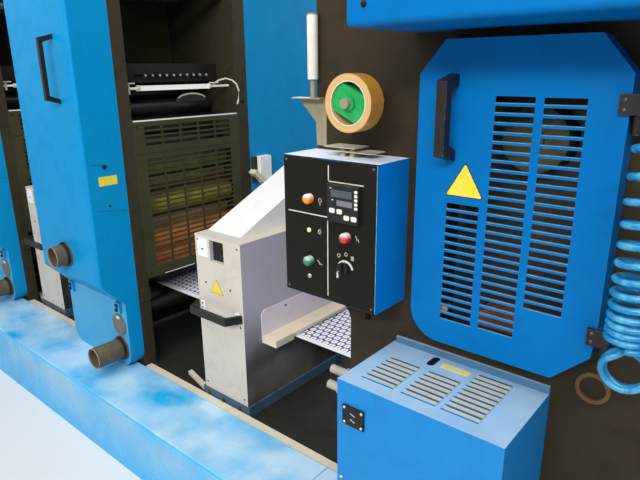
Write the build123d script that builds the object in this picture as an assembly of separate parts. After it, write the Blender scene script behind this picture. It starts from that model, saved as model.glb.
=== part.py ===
"""Letterpress label press: print towers, UV dryers between them and an end unit on one long bed.

Frame: +X along the line of the web towards the end unit, -Y the operator's side, +Z up.
The origin is on the floor, under the middle of the overall box. Lengths are in millimetres.
"""
import os
from math import cos, radians, sin, tan

from build123d import *

os.makedirs("parts", exist_ok=True)

# Line of the press
print_bays = 3
bay_pitch = 1167
tower_width = 486
bed_end_margin = 120
end_unit_gap = 1014
end_unit_width = 1080

# Depths, counted from the front of the plinth
plinth_depth = 259
cover_setback = 108
lower_box_setback = 208
frame_setback = 273
operator_frame_thickness = 55
frame_gap = 559
drive_frame_thickness = 66
drive_cover_depth = 570

# Heights above the floor
plinth_height = 258
bed_height = 235
tower_height = 1950
web_height = 520
end_unit_height = 1780

# Small clearances
seat_gap = 0.3
moving_gap = 5

# Stations worked out from the sizes above
towers_length = (print_bays - 1) * bay_pitch + tower_width
line_length = bed_end_margin + towers_length + end_unit_gap + end_unit_width
line_depth = (frame_setback + operator_frame_thickness + frame_gap
              + drive_frame_thickness + drive_cover_depth)
x_start = -line_length / 2
y_front = -line_depth / 2
y_cover = y_front + cover_setback
y_lower_box = y_front + lower_box_setback
y_frame = y_front + frame_setback
y_frame_inner = y_frame + operator_frame_thickness
y_drive = y_frame_inner + frame_gap
y_drive_back = y_drive + drive_frame_thickness
y_back = y_drive_back + drive_cover_depth
y_rail = y_front + plinth_depth
x_unit = x_start + line_length - end_unit_width
x_end = x_start + line_length
tower_lefts = [x_start + bed_end_margin + bay * bay_pitch for bay in range(print_bays)]

# Plinth, bed and rail
plinth_edge_radius = 12
rail_width = 44
rail_height = 14

# Tower covers
cover_chin_height = 670
cover_seam_height = 565
cover_bend_radius = 12
cover_top_radius = 30
lower_box_corner_radius = 75
drive_cover_radius = 20

# Side guards
guard_thickness = 3
guard_lift = 125
guard_edge = 45
guard_band = 45
guard_margin = 51
guard_lip = 16
slot_pitch = 21.5
slot_height = 14
lower_slot_rows = 22
upper_slot_rows = 4
guard_columns = 5
guard_bar_width = 12
guard_bar_thickness = 2
guard_bottom = web_height + guard_lift
lower_slots_bottom = guard_bottom + guard_edge
upper_slots_bottom = lower_slots_bottom + lower_slot_rows * slot_pitch + guard_band
guard_top = upper_slots_bottom + upper_slot_rows * slot_pitch + guard_lip

# Ink rollers and cylinders
cylinder_radius = 95
roller_end_gap = 22
journal_radius = 14
web_thickness = 1
web_width = 330
web_edge_gap = 180
roller_train_right = [(38, 42), (46, 62), (37, 102), (52, 74), (36, 112), (46, 78), (40, 104),
                      (48, 128), (36, 100)]
roller_train_left = [(38, 138), (50, 116), (44, 80)]
fountain_radius = 55
fountain_height = 1400
fountain_inset = 134
fountain_depth = 112
fountain_bottom = 1455
fountain_rise = 77
fountain_top = fountain_bottom + fountain_rise
fountain_heel = 45
key_count = 10
key_pitch = 35
key_radius = 6
key_length = 20
key_rise = 29
guide_roller_radius = 30
guide_roller_inset = 60

# Tower top, tie bars and lamp bar
tower_top_thickness = 6
tie_radius = 20
tie_inset = 70
tie_top_drop = 90
lamp_height = 1434
lamp_inset = 56
lamp_length = 367
lamp_start = 77
lamp_width = 14
lamp_depth = 20
lamp_rod_radius = 5

# Handles
handle_bar = 16
handle_standoff = 55
tower_handle_length = 248
tower_handle_bottom = 1386
tower_handle_inset = 116

# Duct stubs and port disc
upper_stub_inset = 246
upper_stub_height = 763
upper_stub_length = 62
lower_stub_inset = 64
lower_stub_height = 345
lower_stub_length = 135
stub_radius = 45
stub_wall = 3
stub_flange_radius = 54
stub_flange_thickness = 6
disc_radius = 49
disc_height = 455
disc_thickness = 5

# Cover latches
latch_width = 36
latch_height = 46
latch_depth = 14
latch_insets = (40, 440)

# Dryers
dryer_offset = 99
last_dryer_offset = 369
dryer_width = 250
dryer_setback = 41
dryer_rear_gap = 14
dryer_top = 920
dryer_base_height = 40
dryer_flange = 5
web_slot_height = 30
web_slot_margin = 10
hood_width = 180
hood_front = 60
hood_slope = 24
dryer_handle_bar = 12
dryer_handle_height = 30
dryer_handle_standoff = 60
dryer_handle_z = 635
window_width = 76
window_height = 81
window_bottom = 827
window_inset = 83
window_depth = 20
exit_plate_start = 87
exit_plate_length = 463
exit_plate_height = 104
exit_plate_cut = 16
exit_plate_thickness = 3
shelf_reach = 50
last_shelf_reach = 75
shelf_lift = 19
shelf_drop = 8
shelf_web_gap = 6
base_rail_height = 40
base_rail_overhang = 10
foot_bar_width = 20
foot_bar_length = 175
foot_bar_start = 18
foot_bar_skew = 42

# End unit plate and housing
notch_width = 120
notch_top = 850
notch_radius = 50
window_left = 410
window_right = 726
door_window_bottom = 875
door_window_top = 1430
top_cover_left = 300
top_cover_front = 12
top_cover_bottom = 1580
top_cover_top = 1820
unit_panel_thickness = 3
drum_radius = 75
drum_places = [(513, 840), (568, 1345)]
drum_nose_gap = 30
drum_cap_radius = 22
drum_cap_depth = 8
baffle_setback = 90
baffle_thickness = 3
baffle_margin = 25
baffle_top = 1500
baffle_hole_gap = 6
edge_bracket_thickness = 3
edge_bracket_top = 1428
edge_bracket_reach = 68
edge_bracket_height = 128
edge_rod_radius = 7
edge_rod_top = 1640
edge_sleeve_radius = 14
edge_sleeve_bottom = 1476

# Guard door
door_left = 352
door_right = 782
door_bottom = 858
door_top = 1560
door_depth = 55
door_skin = 3
door_lower_left_radius = 78
door_lower_right_cut = (80, 9, 7, 127)
door_upper_cut = (60, 70)
louvre_pitch = 19.5
louvre_height = 12.5
louvre_lefts = (434, 531, 630)
louvre_widths = (78, 82, 80)
louvre_bottoms = (923, 926, 1003)
louvre_tops = (1215, 1450, 1450)
hinge_pin_radius = 5
hinge_knuckle_radius = 9
hinge_running_gap = 0.1
hinge_side_gap = 14
hinge_drop = 10
hinge_length = 36
hinge_heights = (962, 1418)
hinge_leaf_width = 18
hinge_leaf_thickness = 8
door_handle_length = 186
door_handle_bottom = 1304
door_handle_inset = 84
door_handle_standoff = 55
door_handle_bar = 24
handle_splay = 14
lock_radius = 9
lock_length = 22
lock_height = 948
lock_inset = 91

# Control box
control_box_width = 301
control_box_depth = 133
control_box_bottom = 915
control_box_top = 1290
control_box_overhang = 5
control_panel_thickness = 3
control_panel_inset = 3
controller_size = 96
controller_left = 157
controller_bottom = 1137
controller_depth = 12
button_radius = 13
button_depth = 14
button_places = [(87, 1184), (86, 1016), (207, 1101)]
knob_radius = 17
knob_depth = 16
knob_gap = 1
knob_place = (203, 1017)
knob_spindle_radius = 3

# Tape roll
tape_x = 210
tape_z = 1425
tape_radius = 67
tape_core_radius = 49
tape_width = 50
tape_standoff = 90
tape_bore_gap = 0.1
hub_recess = 5
hub_chord = 34
hub_turn = 25
hub_boss_radius = 18
hub_boss_height = 7
hub_groove = 3
hub_groove_length = 62
spindle_radius = 9
spindle_knob_radius = 12
spindle_knob_length = 12
spindle_collar_radius = 14
spindle_collar_length = 6
tray_left = 98
tray_lengths = (98, 114)
tray_step = 33
tray_front = 48
tray_depth = 62
tray_leaf = 2.5
tray_gap = 7
tray_foot = 12

# Blower box
blower_left = 273
blower_width = 418
blower_reach = 257
blower_top = 787
blower_slot_width = 5
blower_slot_pitch = 20.5
blower_slot_length = 90
blower_slot_depth = 30
blower_slot_start = 42
blower_group_offsets = (86, 196, 298)
blower_group_rows = (6, 6, 9)
blower_slat_height = 3
blower_slat_end = 7
blower_upstand_height = 18
blower_upstand_thickness = 8
blower_hole_offset = 139
blower_hole_start = 219
blower_hole_length = 50
blower_hole_width = 20
blower_hole_depth = 12
plug_offsets = (46, 16)
plug_drops = (12, 36)
plug_lengths = (52, 38)
plug_radius = 11
socket_width = 62
socket_height = 52
socket_inset = 20
socket_drop = 60
ring_inset = 778
ring_height = 836
ring_radius = 36
ring_section = 9

# Coiled air hose at the right of the door
hose_radius = 6
hose_coil_radius = 42
hose_x = 866
hose_setback = 53
hose_coil_bottom = 1048
hose_coil_top = 1400
hose_loop_thickness = 26
hose_loop_flat = 6
hose_tail_run = 50
hose_tail_reach = 99
hose_tail_drift = 18
hose_tail_lift = 34
hose_bend_shift = 9
hose_bend_setback = 78
hose_bend_drop = 28
hose_bend_lead = 38
hose_fitting_radius = 11
hose_fitting_length = 34
hose_outlet_x = 1004
hose_outlet_z = 1128


def block(x0, x1, y0, y1, z0, z1):
    """A box between two corners."""
    return Pos((x0 + x1) / 2, (y0 + y1) / 2, (z0 + z1) / 2) * Box(x1 - x0, y1 - y0, z1 - z0)


def prism_along_x(points, x0, x1):
    """A profile of (y, z) points carried from x0 to x1."""
    face = make_face(Plane.YZ.offset(x0) * Polyline(*points, close=True))
    return extrude(face, amount=x1 - x0, dir=(1, 0, 0))


def prism_along_y(points, y0, y1):
    """A profile of (x, z) points carried from y0 to y1."""
    face = make_face(Plane.XZ.offset(-y1) * Polyline(*points, close=True))
    return extrude(face, amount=y1 - y0, dir=(0, -1, 0))


def rod_y(x, z, radius, y0, y1):
    """A round bar along Y."""
    return Pos(x, (y0 + y1) / 2, z) * Rot(90, 0, 0) * Cylinder(radius, y1 - y0)


def rod_x(y, z, radius, x0, x1):
    """A round bar along X."""
    return Pos((x0 + x1) / 2, y, z) * Rot(0, 90, 0) * Cylinder(radius, x1 - x0)


def rod_z(x, y, radius, z0, z1):
    """A round bar along Z."""
    return Pos(x, y, (z0 + z1) / 2) * Cylinder(radius, z1 - z0)


def roller(x, z, radius):
    """A roller on journals that end just short of the two side frames."""
    journal = rod_y(x, z, journal_radius, y_frame_inner + seat_gap, y_drive - seat_gap)
    body = rod_y(x, z, radius, y_frame_inner + roller_end_gap, y_drive - roller_end_gap)
    return journal + body


def train(x, z, radius, steps, side=1):
    """Rollers that follow one another, each just clear of the one before."""
    rollers = []
    for next_radius, angle in steps:
        reach = radius + next_radius + seat_gap
        x += reach * cos(radians(angle))
        z += reach * sin(radians(angle))
        radius = next_radius
        rollers.append(roller(x, z, radius))
    return rollers


def base_plinth():
    """The blue channel cover that runs along the operator's side."""
    body = block(x_start, x_end, y_front, y_rail, 0, plinth_height)
    front_top = body.edges().filter_by(Axis.X).group_by(Axis.Z)[-1].sort_by(Axis.Y)[0]
    return fillet(front_top, plinth_edge_radius)


def bed_frame():
    """The steel bed that carries the frames."""
    return block(x_start, x_end, y_rail, y_back, 0, bed_height)


def bed_rails():
    """The pale rail on the front edge of the bed, between the towers."""
    ends = [x_start] + [left + tower_width + seat_gap for left in tower_lefts]
    starts = [left - seat_gap for left in tower_lefts] + [x_unit + notch_width - seat_gap]
    return [block(a, b, y_rail, y_rail + rail_width, bed_height, bed_height + rail_height)
            for a, b in zip(ends, starts)]


def tower_cover(left):
    """The upper cover of a tower, whose chin slopes back to the lower box."""
    profile = [(y_cover, tower_height), (y_cover, cover_chin_height),
               (y_lower_box, cover_seam_height), (y_frame, cover_seam_height),
               (y_frame, tower_height)]
    body = prism_along_x(profile, left, left + tower_width)
    front = body.faces().sort_by(Axis.Y)[0]
    body = fillet(front.edges().filter_by(Axis.Z), cover_bend_radius)
    top_front = body.edges().group_by(Axis.Z)[-1].filter_by(Axis.X).sort_by(Axis.Y)[0]
    return fillet(top_front, cover_top_radius)


def tower_lower_box(left):
    """The lower box of a tower, with its two bottom corners rounded."""
    body = block(left, left + tower_width, y_lower_box, y_frame, plinth_height, cover_seam_height)
    corners = body.edges().filter_by(Axis.Y).group_by(Axis.Z)[0]
    return fillet(corners, lower_box_corner_radius)


def operator_frame(left):
    """The steel side frame on the operator's side."""
    return block(left, left + tower_width, y_frame, y_frame_inner, bed_height,
                 tower_height - cover_top_radius)


def drive_frame(left, width, height):
    """The steel side frame on the drive side."""
    return block(left, left + width, y_drive, y_drive_back, bed_height, height)


def drive_cover(left, width, height):
    """The blue housing over the gears, with a rounded back and top."""
    body = block(left, left + width, y_drive_back, y_back, bed_height, height)
    back = body.faces().sort_by(Axis.Y)[-1]
    body = fillet(back.edges().filter_by(Axis.Z), drive_cover_radius)
    top_back = body.edges().group_by(Axis.Z)[-1].filter_by(Axis.X).sort_by(Axis.Y)[-1]
    return fillet(top_back, drive_cover_radius)


def tower_top(left):
    """The plate that closes a tower between its two side frames."""
    z1 = tower_height - cover_top_radius
    return block(left, left + tower_width, y_frame_inner + seat_gap, y_drive - seat_gap,
                 z1 - tower_top_thickness, z1)


def side_guard(outer, inward):
    """A slotted guard sheet between the frames; the left one (inward +1) runs up to the top."""
    y0 = y_frame_inner + seat_gap
    y1 = y_drive - seat_gap
    z1 = guard_top
    if inward > 0:
        z1 = tower_height - cover_top_radius - tower_top_thickness - seat_gap
    xs = sorted((outer, outer + inward * guard_thickness))
    lip = sorted((outer, outer + inward * guard_lip))
    sheet = block(xs[0], xs[1], y0, y1, guard_bottom, z1)
    sheet += block(lip[0], lip[1], y0, y1, z1 - guard_thickness, z1)
    sheet += block(lip[0], lip[1], y0, y1, guard_bottom, guard_bottom + guard_thickness)
    rows = [lower_slots_bottom + row * slot_pitch for row in range(lower_slot_rows)]
    rows += [upper_slots_bottom + row * slot_pitch for row in range(upper_slot_rows)]
    slots = [block(xs[0] - 1, xs[1] + 1, y0 + guard_margin, y1 - guard_margin, z, z + slot_height)
             for z in rows]
    return sheet - slots


def guard_bars(outer, inward):
    """The upright strips behind a guard, which part its slots into columns."""
    clear = y_drive - y_frame_inner - 2 * (seat_gap + guard_margin)
    slot = (clear - (guard_columns - 1) * guard_bar_width) / guard_columns
    inner = outer + inward * (guard_thickness + seat_gap)
    xs = sorted((inner, inner + inward * guard_bar_thickness))
    bars = []
    for column in range(1, guard_columns):
        y = y_frame_inner + seat_gap + guard_margin + column * slot + (column - 1) * guard_bar_width
        bars.append(block(xs[0], xs[1], y, y + guard_bar_width,
                          lower_slots_bottom - slot_height, upper_slots_bottom
                          + upper_slot_rows * slot_pitch))
    return bars


def cylinders(left):
    """The plate cylinder above the web and the impression cylinder below it."""
    x = left + tower_width / 2
    reach = cylinder_radius + web_thickness / 2 + seat_gap
    return [roller(x, web_height + reach, cylinder_radius),
            roller(x, web_height - reach, cylinder_radius)]


def ink_rollers(left):
    """The inking train above the plate cylinder."""
    x = left + tower_width / 2
    z = web_height + cylinder_radius + web_thickness / 2 + seat_gap
    rollers = train(x, z, cylinder_radius, roller_train_right)
    rollers += train(x, z, cylinder_radius, roller_train_left)
    rollers.append(roller(x - 2 * fountain_radius, fountain_height, fountain_radius))
    return rollers


def ink_fountain(left):
    """The ink trough above the rollers, with its row of keys facing the next dryer."""
    x1 = left + tower_width - fountain_inset
    x0 = x1 - fountain_depth
    y0 = y_frame_inner + seat_gap
    y1 = y_drive - seat_gap
    outline = [(x1, fountain_bottom), (x1, fountain_top), (x0, fountain_top),
               (x0, fountain_bottom + fountain_heel), (x1 - fountain_heel, fountain_bottom)]
    trough = prism_along_y(outline, y0, y1)
    middle = (y0 + y1) / 2
    for key in range(key_count):
        y = middle + (key - (key_count - 1) / 2) * key_pitch
        trough += rod_x(y, fountain_bottom + key_rise, key_radius, x1 - seat_gap, x1 + key_length)
    return trough


def web_rollers():
    """Guide rollers under the web, two in each tower and one in the end unit."""
    z = web_height - web_thickness / 2 - seat_gap - guide_roller_radius
    places = []
    for left in tower_lefts:
        places += [left + guide_roller_inset, left + tower_width - guide_roller_inset]
    places.append(x_unit + notch_width + guide_roller_inset)
    return [roller(x, z, guide_roller_radius) for x in places]


def web():
    """The label web, from the first tower into the end unit."""
    x0 = tower_lefts[0] + guide_roller_inset
    x1 = x_unit + notch_width + guide_roller_inset
    y0 = y_frame_inner + web_edge_gap
    return block(x0, x1, y0, y0 + web_width, web_height - web_thickness / 2,
                 web_height + web_thickness / 2)


def tie_bars(left):
    """Round bars that tie the two side frames of a tower."""
    y0 = y_frame_inner + seat_gap
    y1 = y_drive - seat_gap
    top = tower_height - cover_top_radius - tie_top_drop
    right = left + tower_width
    places = [(left + tie_inset, top), (right - tie_inset, top),
              (left + tower_width / 2, bed_height + tie_inset)]
    return [rod_y(x, z, tie_radius, y0, y1) for x, z in places]


def lamp_bar(left):
    """The lamp above the guard, on thin rods between the frames."""
    x = left + tower_width - lamp_inset
    y0 = y_frame_inner + lamp_start
    bar = block(x - lamp_width / 2, x + lamp_width / 2, y0, y0 + lamp_length,
                lamp_height - lamp_depth / 2, lamp_height + lamp_depth / 2)
    rod = rod_y(x, lamp_height, lamp_rod_radius, y_frame_inner + seat_gap, y_drive - seat_gap)
    return bar + rod


def upright_handle(x, y_face, z0, length, bar, standoff):
    """A square-bar grab handle whose arms splay apart towards the face that it stands on."""
    y0 = y_face - standoff
    z1 = z0 + length
    outline = [(y_face, z0), (y0, z0 + handle_splay), (y0, z1 - handle_splay), (y_face, z1),
               (y_face, z1 - bar), (y0 + bar, z1 - handle_splay - bar),
               (y0 + bar, z0 + handle_splay + bar), (y_face, z0 + bar)]
    return prism_along_x(outline, x - bar / 2, x + bar / 2)


def duct_stub(x, z, y_face, length):
    """An open tube with a base flange, for an extraction hose."""
    tube = rod_y(x, z, stub_radius, y_face - length, y_face)
    tube += rod_y(x, z, stub_flange_radius, y_face - stub_flange_thickness, y_face)
    return tube - rod_y(x, z, stub_radius - stub_wall, y_face - length - 1, y_face + 1)


def duct_stubs(left):
    """The upper stub on a tower's cover and the lower one on its lower box."""
    right = left + tower_width
    return [duct_stub(right - upper_stub_inset, upper_stub_height, y_cover, upper_stub_length),
            duct_stub(right - lower_stub_inset, lower_stub_height, y_lower_box, lower_stub_length)]


def port_disc(left):
    """A blank disc that closes a spare port in the lower box."""
    x = left + tower_width - lower_stub_inset
    return rod_y(x, disc_height, disc_radius, y_lower_box - disc_thickness, y_lower_box)


def cover_latches(left):
    """The two latches that hold the upper cover down, just under its seam."""
    z0 = cover_seam_height - latch_height
    return [block(left + inset - latch_width / 2, left + inset + latch_width / 2,
                  y_lower_box - latch_depth, y_lower_box, z0, cover_seam_height - seat_gap)
            for inset in latch_insets]


def dryer_left(left):
    """Where the dryer after a tower begins; the last one stands further off, in a longer bay."""
    offset = last_dryer_offset if left == tower_lefts[-1] else dryer_offset
    return left + tower_width + offset


def dryer_cabinet(left):
    """The dryer cabinet, with the slot that the web runs through."""
    x0 = dryer_left(left)
    x1 = x0 + dryer_width
    y0 = y_frame + dryer_setback
    y1 = y_drive - dryer_rear_gap
    z0 = bed_height + dryer_base_height
    body = block(x0, x1, y0, y1, z0, dryer_top)
    slot_y = y_frame_inner + web_edge_gap
    body -= block(x0 - 1, x1 + 1, slot_y - web_slot_margin, slot_y + web_width + web_slot_margin,
                  web_height - web_slot_height / 2, web_height + web_slot_height / 2)
    wx = x0 + window_inset
    return body - block(wx, wx + window_width, y0 - 1, y0 + window_depth,
                        window_bottom, window_bottom + window_height)


def dryer_hood(left):
    """The sloping exhaust hood on the cabinet."""
    x0 = dryer_left(left) + dryer_flange
    y0 = y_frame + dryer_setback + hood_front
    y1 = y_drive - dryer_rear_gap
    rise = (y1 - y0) * tan(radians(hood_slope))
    return prism_along_x([(y0, dryer_top), (y1, dryer_top), (y1, dryer_top + rise)],
                         x0, x0 + hood_width)


def dryer_handle(left):
    """The flat-bar pull handle on the front of a dryer."""
    x0 = dryer_left(left) - dryer_handle_bar
    x1 = x0 + dryer_width + dryer_handle_bar / 2
    y0 = y_frame + dryer_setback
    out = y0 - dryer_handle_standoff
    bar = dryer_handle_bar
    slant = dryer_handle_standoff / 2
    outer = [(x0, y0), (x0 + slant, out), (x1 - slant, out), (x1, y0)]
    inner = [(x1 - bar, y0), (x1 - slant - bar / 2, out + bar),
             (x0 + slant + bar / 2, out + bar), (x0 + bar, y0)]
    z0 = dryer_handle_z - dryer_handle_height / 2
    face = make_face(Plane.XY.offset(z0) * Polyline(*outer, *inner, close=True))
    return extrude(face, amount=dryer_handle_height, dir=(0, 0, 1))


def dryer_window(left):
    """The dark plate with a knob at the bottom of the window recess."""
    x0 = dryer_left(left) + window_inset + seat_gap
    x1 = x0 + window_width - 2 * seat_gap
    y0 = y_frame + dryer_setback + window_depth
    z0 = window_bottom + seat_gap
    z1 = window_bottom + window_height - seat_gap
    plate = block(x0, x1, y0 - 4, y0, z0, z1)
    knob = rod_y(x0 + window_width * 0.7, (z0 + z1) / 2, 7, y0 - 16, y0 - 4)
    return plate + knob


def exit_plate(left):
    """The plate over the web's way out of a dryer, with one cut corner."""
    x0 = dryer_left(left) + dryer_width
    y0 = y_frame + exit_plate_start + dryer_setback
    y1 = y0 + exit_plate_length
    z0 = web_height + shelf_lift
    z1 = z0 + exit_plate_height
    outline = [(y0, z0), (y0, z1 - exit_plate_cut), (y0 + exit_plate_cut, z1), (y1, z1), (y1, z0)]
    return prism_along_x(outline, x0, x0 + exit_plate_thickness)


def exit_shelf(left):
    """The pale bar under the exit plate, notched over the web where it leaves a dryer."""
    x0 = dryer_left(left) + dryer_width
    y0 = y_frame + exit_plate_start + dryer_setback
    reach = last_shelf_reach if left == tower_lefts[-1] else shelf_reach
    shelf = block(x0, x0 + reach, y0, y0 + exit_plate_length, web_height - shelf_drop,
                  web_height + shelf_lift)
    slot_y = y_frame_inner + web_edge_gap
    return shelf - block(x0 - 1, x0 + reach + 1, slot_y - web_slot_margin,
                         slot_y + web_width + web_slot_margin, web_height - shelf_drop - 1,
                         web_height + shelf_web_gap)


def dryer_base(left):
    """The slate rail under a dryer cabinet."""
    x0 = dryer_left(left)
    return block(x0 - base_rail_overhang, x0 + dryer_width + base_rail_overhang,
                 y_frame + dryer_setback - 4, y_drive - dryer_rear_gap,
                 bed_height, bed_height + base_rail_height)


def foot_bracket(left):
    """The pale bar on the bed that ties a dryer to the tower before it, set askew."""
    x1 = dryer_left(left) - base_rail_overhang
    x0 = x1 - foot_bar_length
    y0 = y_rail + rail_width + foot_bar_start
    outline = [(x0, y0 + foot_bar_skew), (x1, y0), (x1, y0 + foot_bar_width),
               (x0, y0 + foot_bar_skew + foot_bar_width)]
    face = make_face(Plane.XY.offset(bed_height) * Polyline(*outline, close=True))
    return extrude(face, amount=rail_height, dir=(0, 0, 1))


def end_unit_plate():
    """The operator-side plate of the end unit, notched for the web and with a door window."""
    y0, y1 = y_frame, y_frame_inner
    plate = block(x_unit, x_end, y0, y1, bed_height, end_unit_height)
    notch = block(x_unit - 1, x_unit + notch_width, y0 - 1, y1 + 1, bed_height - 1, notch_top)
    inner_corner = notch.edges().filter_by(Axis.Y).group_by(Axis.Z)[-1].sort_by(Axis.X)[-1]
    notch = fillet(inner_corner, notch_radius)
    window = block(x_unit + window_left, x_unit + window_right, y0 - 1, y1 + 1,
                   door_window_bottom, door_window_top)
    return plate - notch - window


def end_unit_top_cover():
    """The cover over the end unit, which overhangs the door."""
    body = block(x_unit + top_cover_left, x_end, y_front + top_cover_front, y_frame,
                 top_cover_bottom, top_cover_top)
    front = body.faces().sort_by(Axis.Y)[0]
    return fillet(front.edges().filter_by(Axis.X), cover_bend_radius)


def end_unit_panels():
    """The sheets that close the end unit at its right end and on top."""
    y0 = y_frame_inner + seat_gap
    y1 = y_drive - seat_gap
    side = block(x_end - unit_panel_thickness, x_end, y0, y1, bed_height, end_unit_height)
    top = block(x_unit, x_end - unit_panel_thickness - seat_gap, y0, y1,
                end_unit_height - unit_panel_thickness, end_unit_height)
    return [side, top]


def edge_bracket():
    """The bent plate at the left edge of the end unit, with the rod and sleeve that stand on it."""
    x1 = x_unit + edge_bracket_reach / 2
    x0 = x_unit - edge_bracket_reach
    z1 = edge_bracket_top
    knee = edge_bracket_height / 5
    outline = [(x0, z1), (x0 + knee, z1 - knee), (x_unit - 3, z1 - edge_bracket_height / 2),
               (x_unit, z1 - edge_bracket_height), (x1, z1 - edge_bracket_height), (x1, z1)]
    bracket = prism_along_y(outline, y_frame - edge_bracket_thickness, y_frame)
    y = y_frame - edge_bracket_thickness - edge_sleeve_radius
    bracket += block(x0, x1, y - edge_sleeve_radius, y_frame, z1 - edge_bracket_thickness, z1)
    bracket += rod_z(x_unit, y, edge_rod_radius, z1, edge_rod_top)
    return bracket + rod_z(x_unit, y, edge_sleeve_radius, edge_sleeve_bottom, edge_rod_top)


def end_unit_drum(dx, z):
    """A drum behind the door's window, carried from the drive side, with a screw cap on its nose."""
    x = x_unit + dx
    nose = y_frame_inner + drum_nose_gap
    drum = rod_y(x, z, drum_radius, nose, y_drive - roller_end_gap)
    drum += rod_y(x, z, journal_radius, y_drive - roller_end_gap, y_drive - seat_gap)
    return drum + rod_y(x, z, drum_cap_radius, nose - drum_cap_depth, nose)


def inner_baffle():
    """The brown sheet behind the window that the two drums stick out of, standing on the bed."""
    y0 = y_frame_inner + baffle_setback
    y1 = y0 + baffle_thickness
    sheet = block(x_unit + window_left - baffle_margin, x_unit + window_right + baffle_margin,
                  y0, y1, bed_height, baffle_top)
    for dx, z in drum_places:
        sheet -= rod_y(x_unit + dx, z, drum_radius + baffle_hole_gap, y0 - 1, y1 + 1)
    return sheet


def door_outline(inset=0):
    """The door's outline as (x, z) points, with its cut corners; the lower left one is square."""
    x0 = x_unit + door_left + inset
    x1 = x_unit + door_right - inset
    z0 = door_bottom + inset
    z1 = door_top - inset
    low_x, knee_z, knee_x, low_z = door_lower_right_cut
    top_x, top_z = door_upper_cut
    return [(x0, z0), (x1 - low_x, z0), (x1 - knee_x, z0 + low_x - knee_z), (x1, z0 + low_z),
            (x1, z1 - top_z), (x1 - top_x, z1), (x0 + top_x, z1), (x0, z1 - top_z)]


def door_panel(inset, y0, y1):
    """The door's outline as a solid, with its lower left corner rounded."""
    panel = prism_along_y(door_outline(inset), y0, y1)
    corner = panel.edges().filter_by(Axis.Y).group_by(Axis.Z)[0].sort_by(Axis.X)[0]
    return fillet(corner, door_lower_left_radius - inset)


def door_y():
    """The door's front and back planes."""
    back = y_frame - moving_gap
    return back - door_depth, back


def hinge_axis():
    """Where the door's upright hinge axis stands, in x and y."""
    return x_unit + door_right + hinge_side_gap, door_y()[0] + hinge_drop


def guard_door():
    """The louvred door: a tray with cut corners and knuckles at its right."""
    y0, y1 = door_y()
    door = door_panel(0, y0, y1)
    door -= door_panel(door_skin, y0 + door_skin, y1 + 1)
    slots = []
    for left, width, bottom, top in zip(louvre_lefts, louvre_widths, louvre_bottoms, louvre_tops):
        x0 = x_unit + left
        z = bottom
        while z + louvre_height < top:
            slots.append(block(x0, x0 + width, y0 - 1, y0 + door_skin + 1, z, z + louvre_height))
            z += louvre_pitch
    door -= slots
    x, y = hinge_axis()
    for z in hinge_heights:
        arm = block(x_unit + door_right - door_skin, x, y - hinge_knuckle_radius,
                    y + hinge_knuckle_radius, z, z + hinge_length)
        door += arm + rod_z(x, y, hinge_knuckle_radius, z, z + hinge_length)
        door -= rod_z(x, y, hinge_pin_radius + hinge_running_gap, z - 1, z + hinge_length + 1)
    return door


def hinge_leaves():
    """The leaves that screw the hinge arms to the front of the door."""
    x0 = x_unit + door_right - hinge_leaf_width
    x1 = hinge_axis()[0] + hinge_knuckle_radius
    y0 = door_y()[0]
    return [block(x0, x1, y0 - hinge_leaf_thickness, y0, z, z + hinge_length)
            for z in hinge_heights]


def door_hinges():
    """The fixed halves of the hinges: a pin above a rounded lug that stands on the plate."""
    x, y = hinge_axis()
    hinges = []
    for z in hinge_heights:
        pin = rod_z(x, y, hinge_pin_radius, z - hinge_length, z + hinge_length)
        lug = rod_z(x, y, hinge_knuckle_radius, z - hinge_length, z - 1)
        lug += block(x - hinge_knuckle_radius, x + hinge_knuckle_radius, y,
                     y_frame, z - hinge_length, z - 1)
        hinges.append(pin + lug)
    return hinges


def door_handle():
    """The upright grab handle at the free edge of the door."""
    return upright_handle(x_unit + door_left + door_handle_inset, door_y()[0], door_handle_bottom,
                          door_handle_length, door_handle_bar, door_handle_standoff)


def door_lock():
    """The small brass lock barrel on the inside of the door, behind the lowest louvres."""
    x = x_unit + door_left + lock_inset
    y0 = door_y()[0] + door_skin
    return rod_y(x, lock_height, lock_radius, y0, y0 + lock_length)


def control_box_corners():
    """The control box's left and right sides and its front plane."""
    x0 = x_unit - control_box_overhang
    return x0, x0 + control_box_width, y_frame - control_box_depth


def control_box():
    """The blue control box on the end unit's plate."""
    x0, x1, y0 = control_box_corners()
    return block(x0, x1, y0, y_frame, control_box_bottom, control_box_top)


def control_panel():
    """The black front panel."""
    x0, x1, y0 = control_box_corners()
    inset = control_panel_inset
    return block(x0 + inset, x1 - inset, y0 - control_panel_thickness, y0,
                 control_box_bottom + inset, control_box_top - inset)


def temperature_controller():
    """The square panel instrument."""
    x0, _, y0 = control_box_corners()
    face = y0 - control_panel_thickness
    body = block(x0 + controller_left, x0 + controller_left + controller_size,
                 face - controller_depth, face, controller_bottom,
                 controller_bottom + controller_size)
    front = body.faces().sort_by(Axis.Y)[0]
    return chamfer(front.edges(), 2)


def push_buttons():
    """The three push buttons."""
    x0, _, y0 = control_box_corners()
    face = y0 - control_panel_thickness
    return [rod_y(x0 + dx, z, button_radius, face - button_depth, face) for dx, z in button_places]


def selector_spindle():
    """The fixed spindle that the selector knob turns on."""
    x0, _, y0 = control_box_corners()
    face = y0 - control_panel_thickness
    x, z = x0 + knob_place[0], knob_place[1]
    return rod_y(x, z, knob_spindle_radius, face - knob_gap - knob_depth / 2, face)


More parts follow.
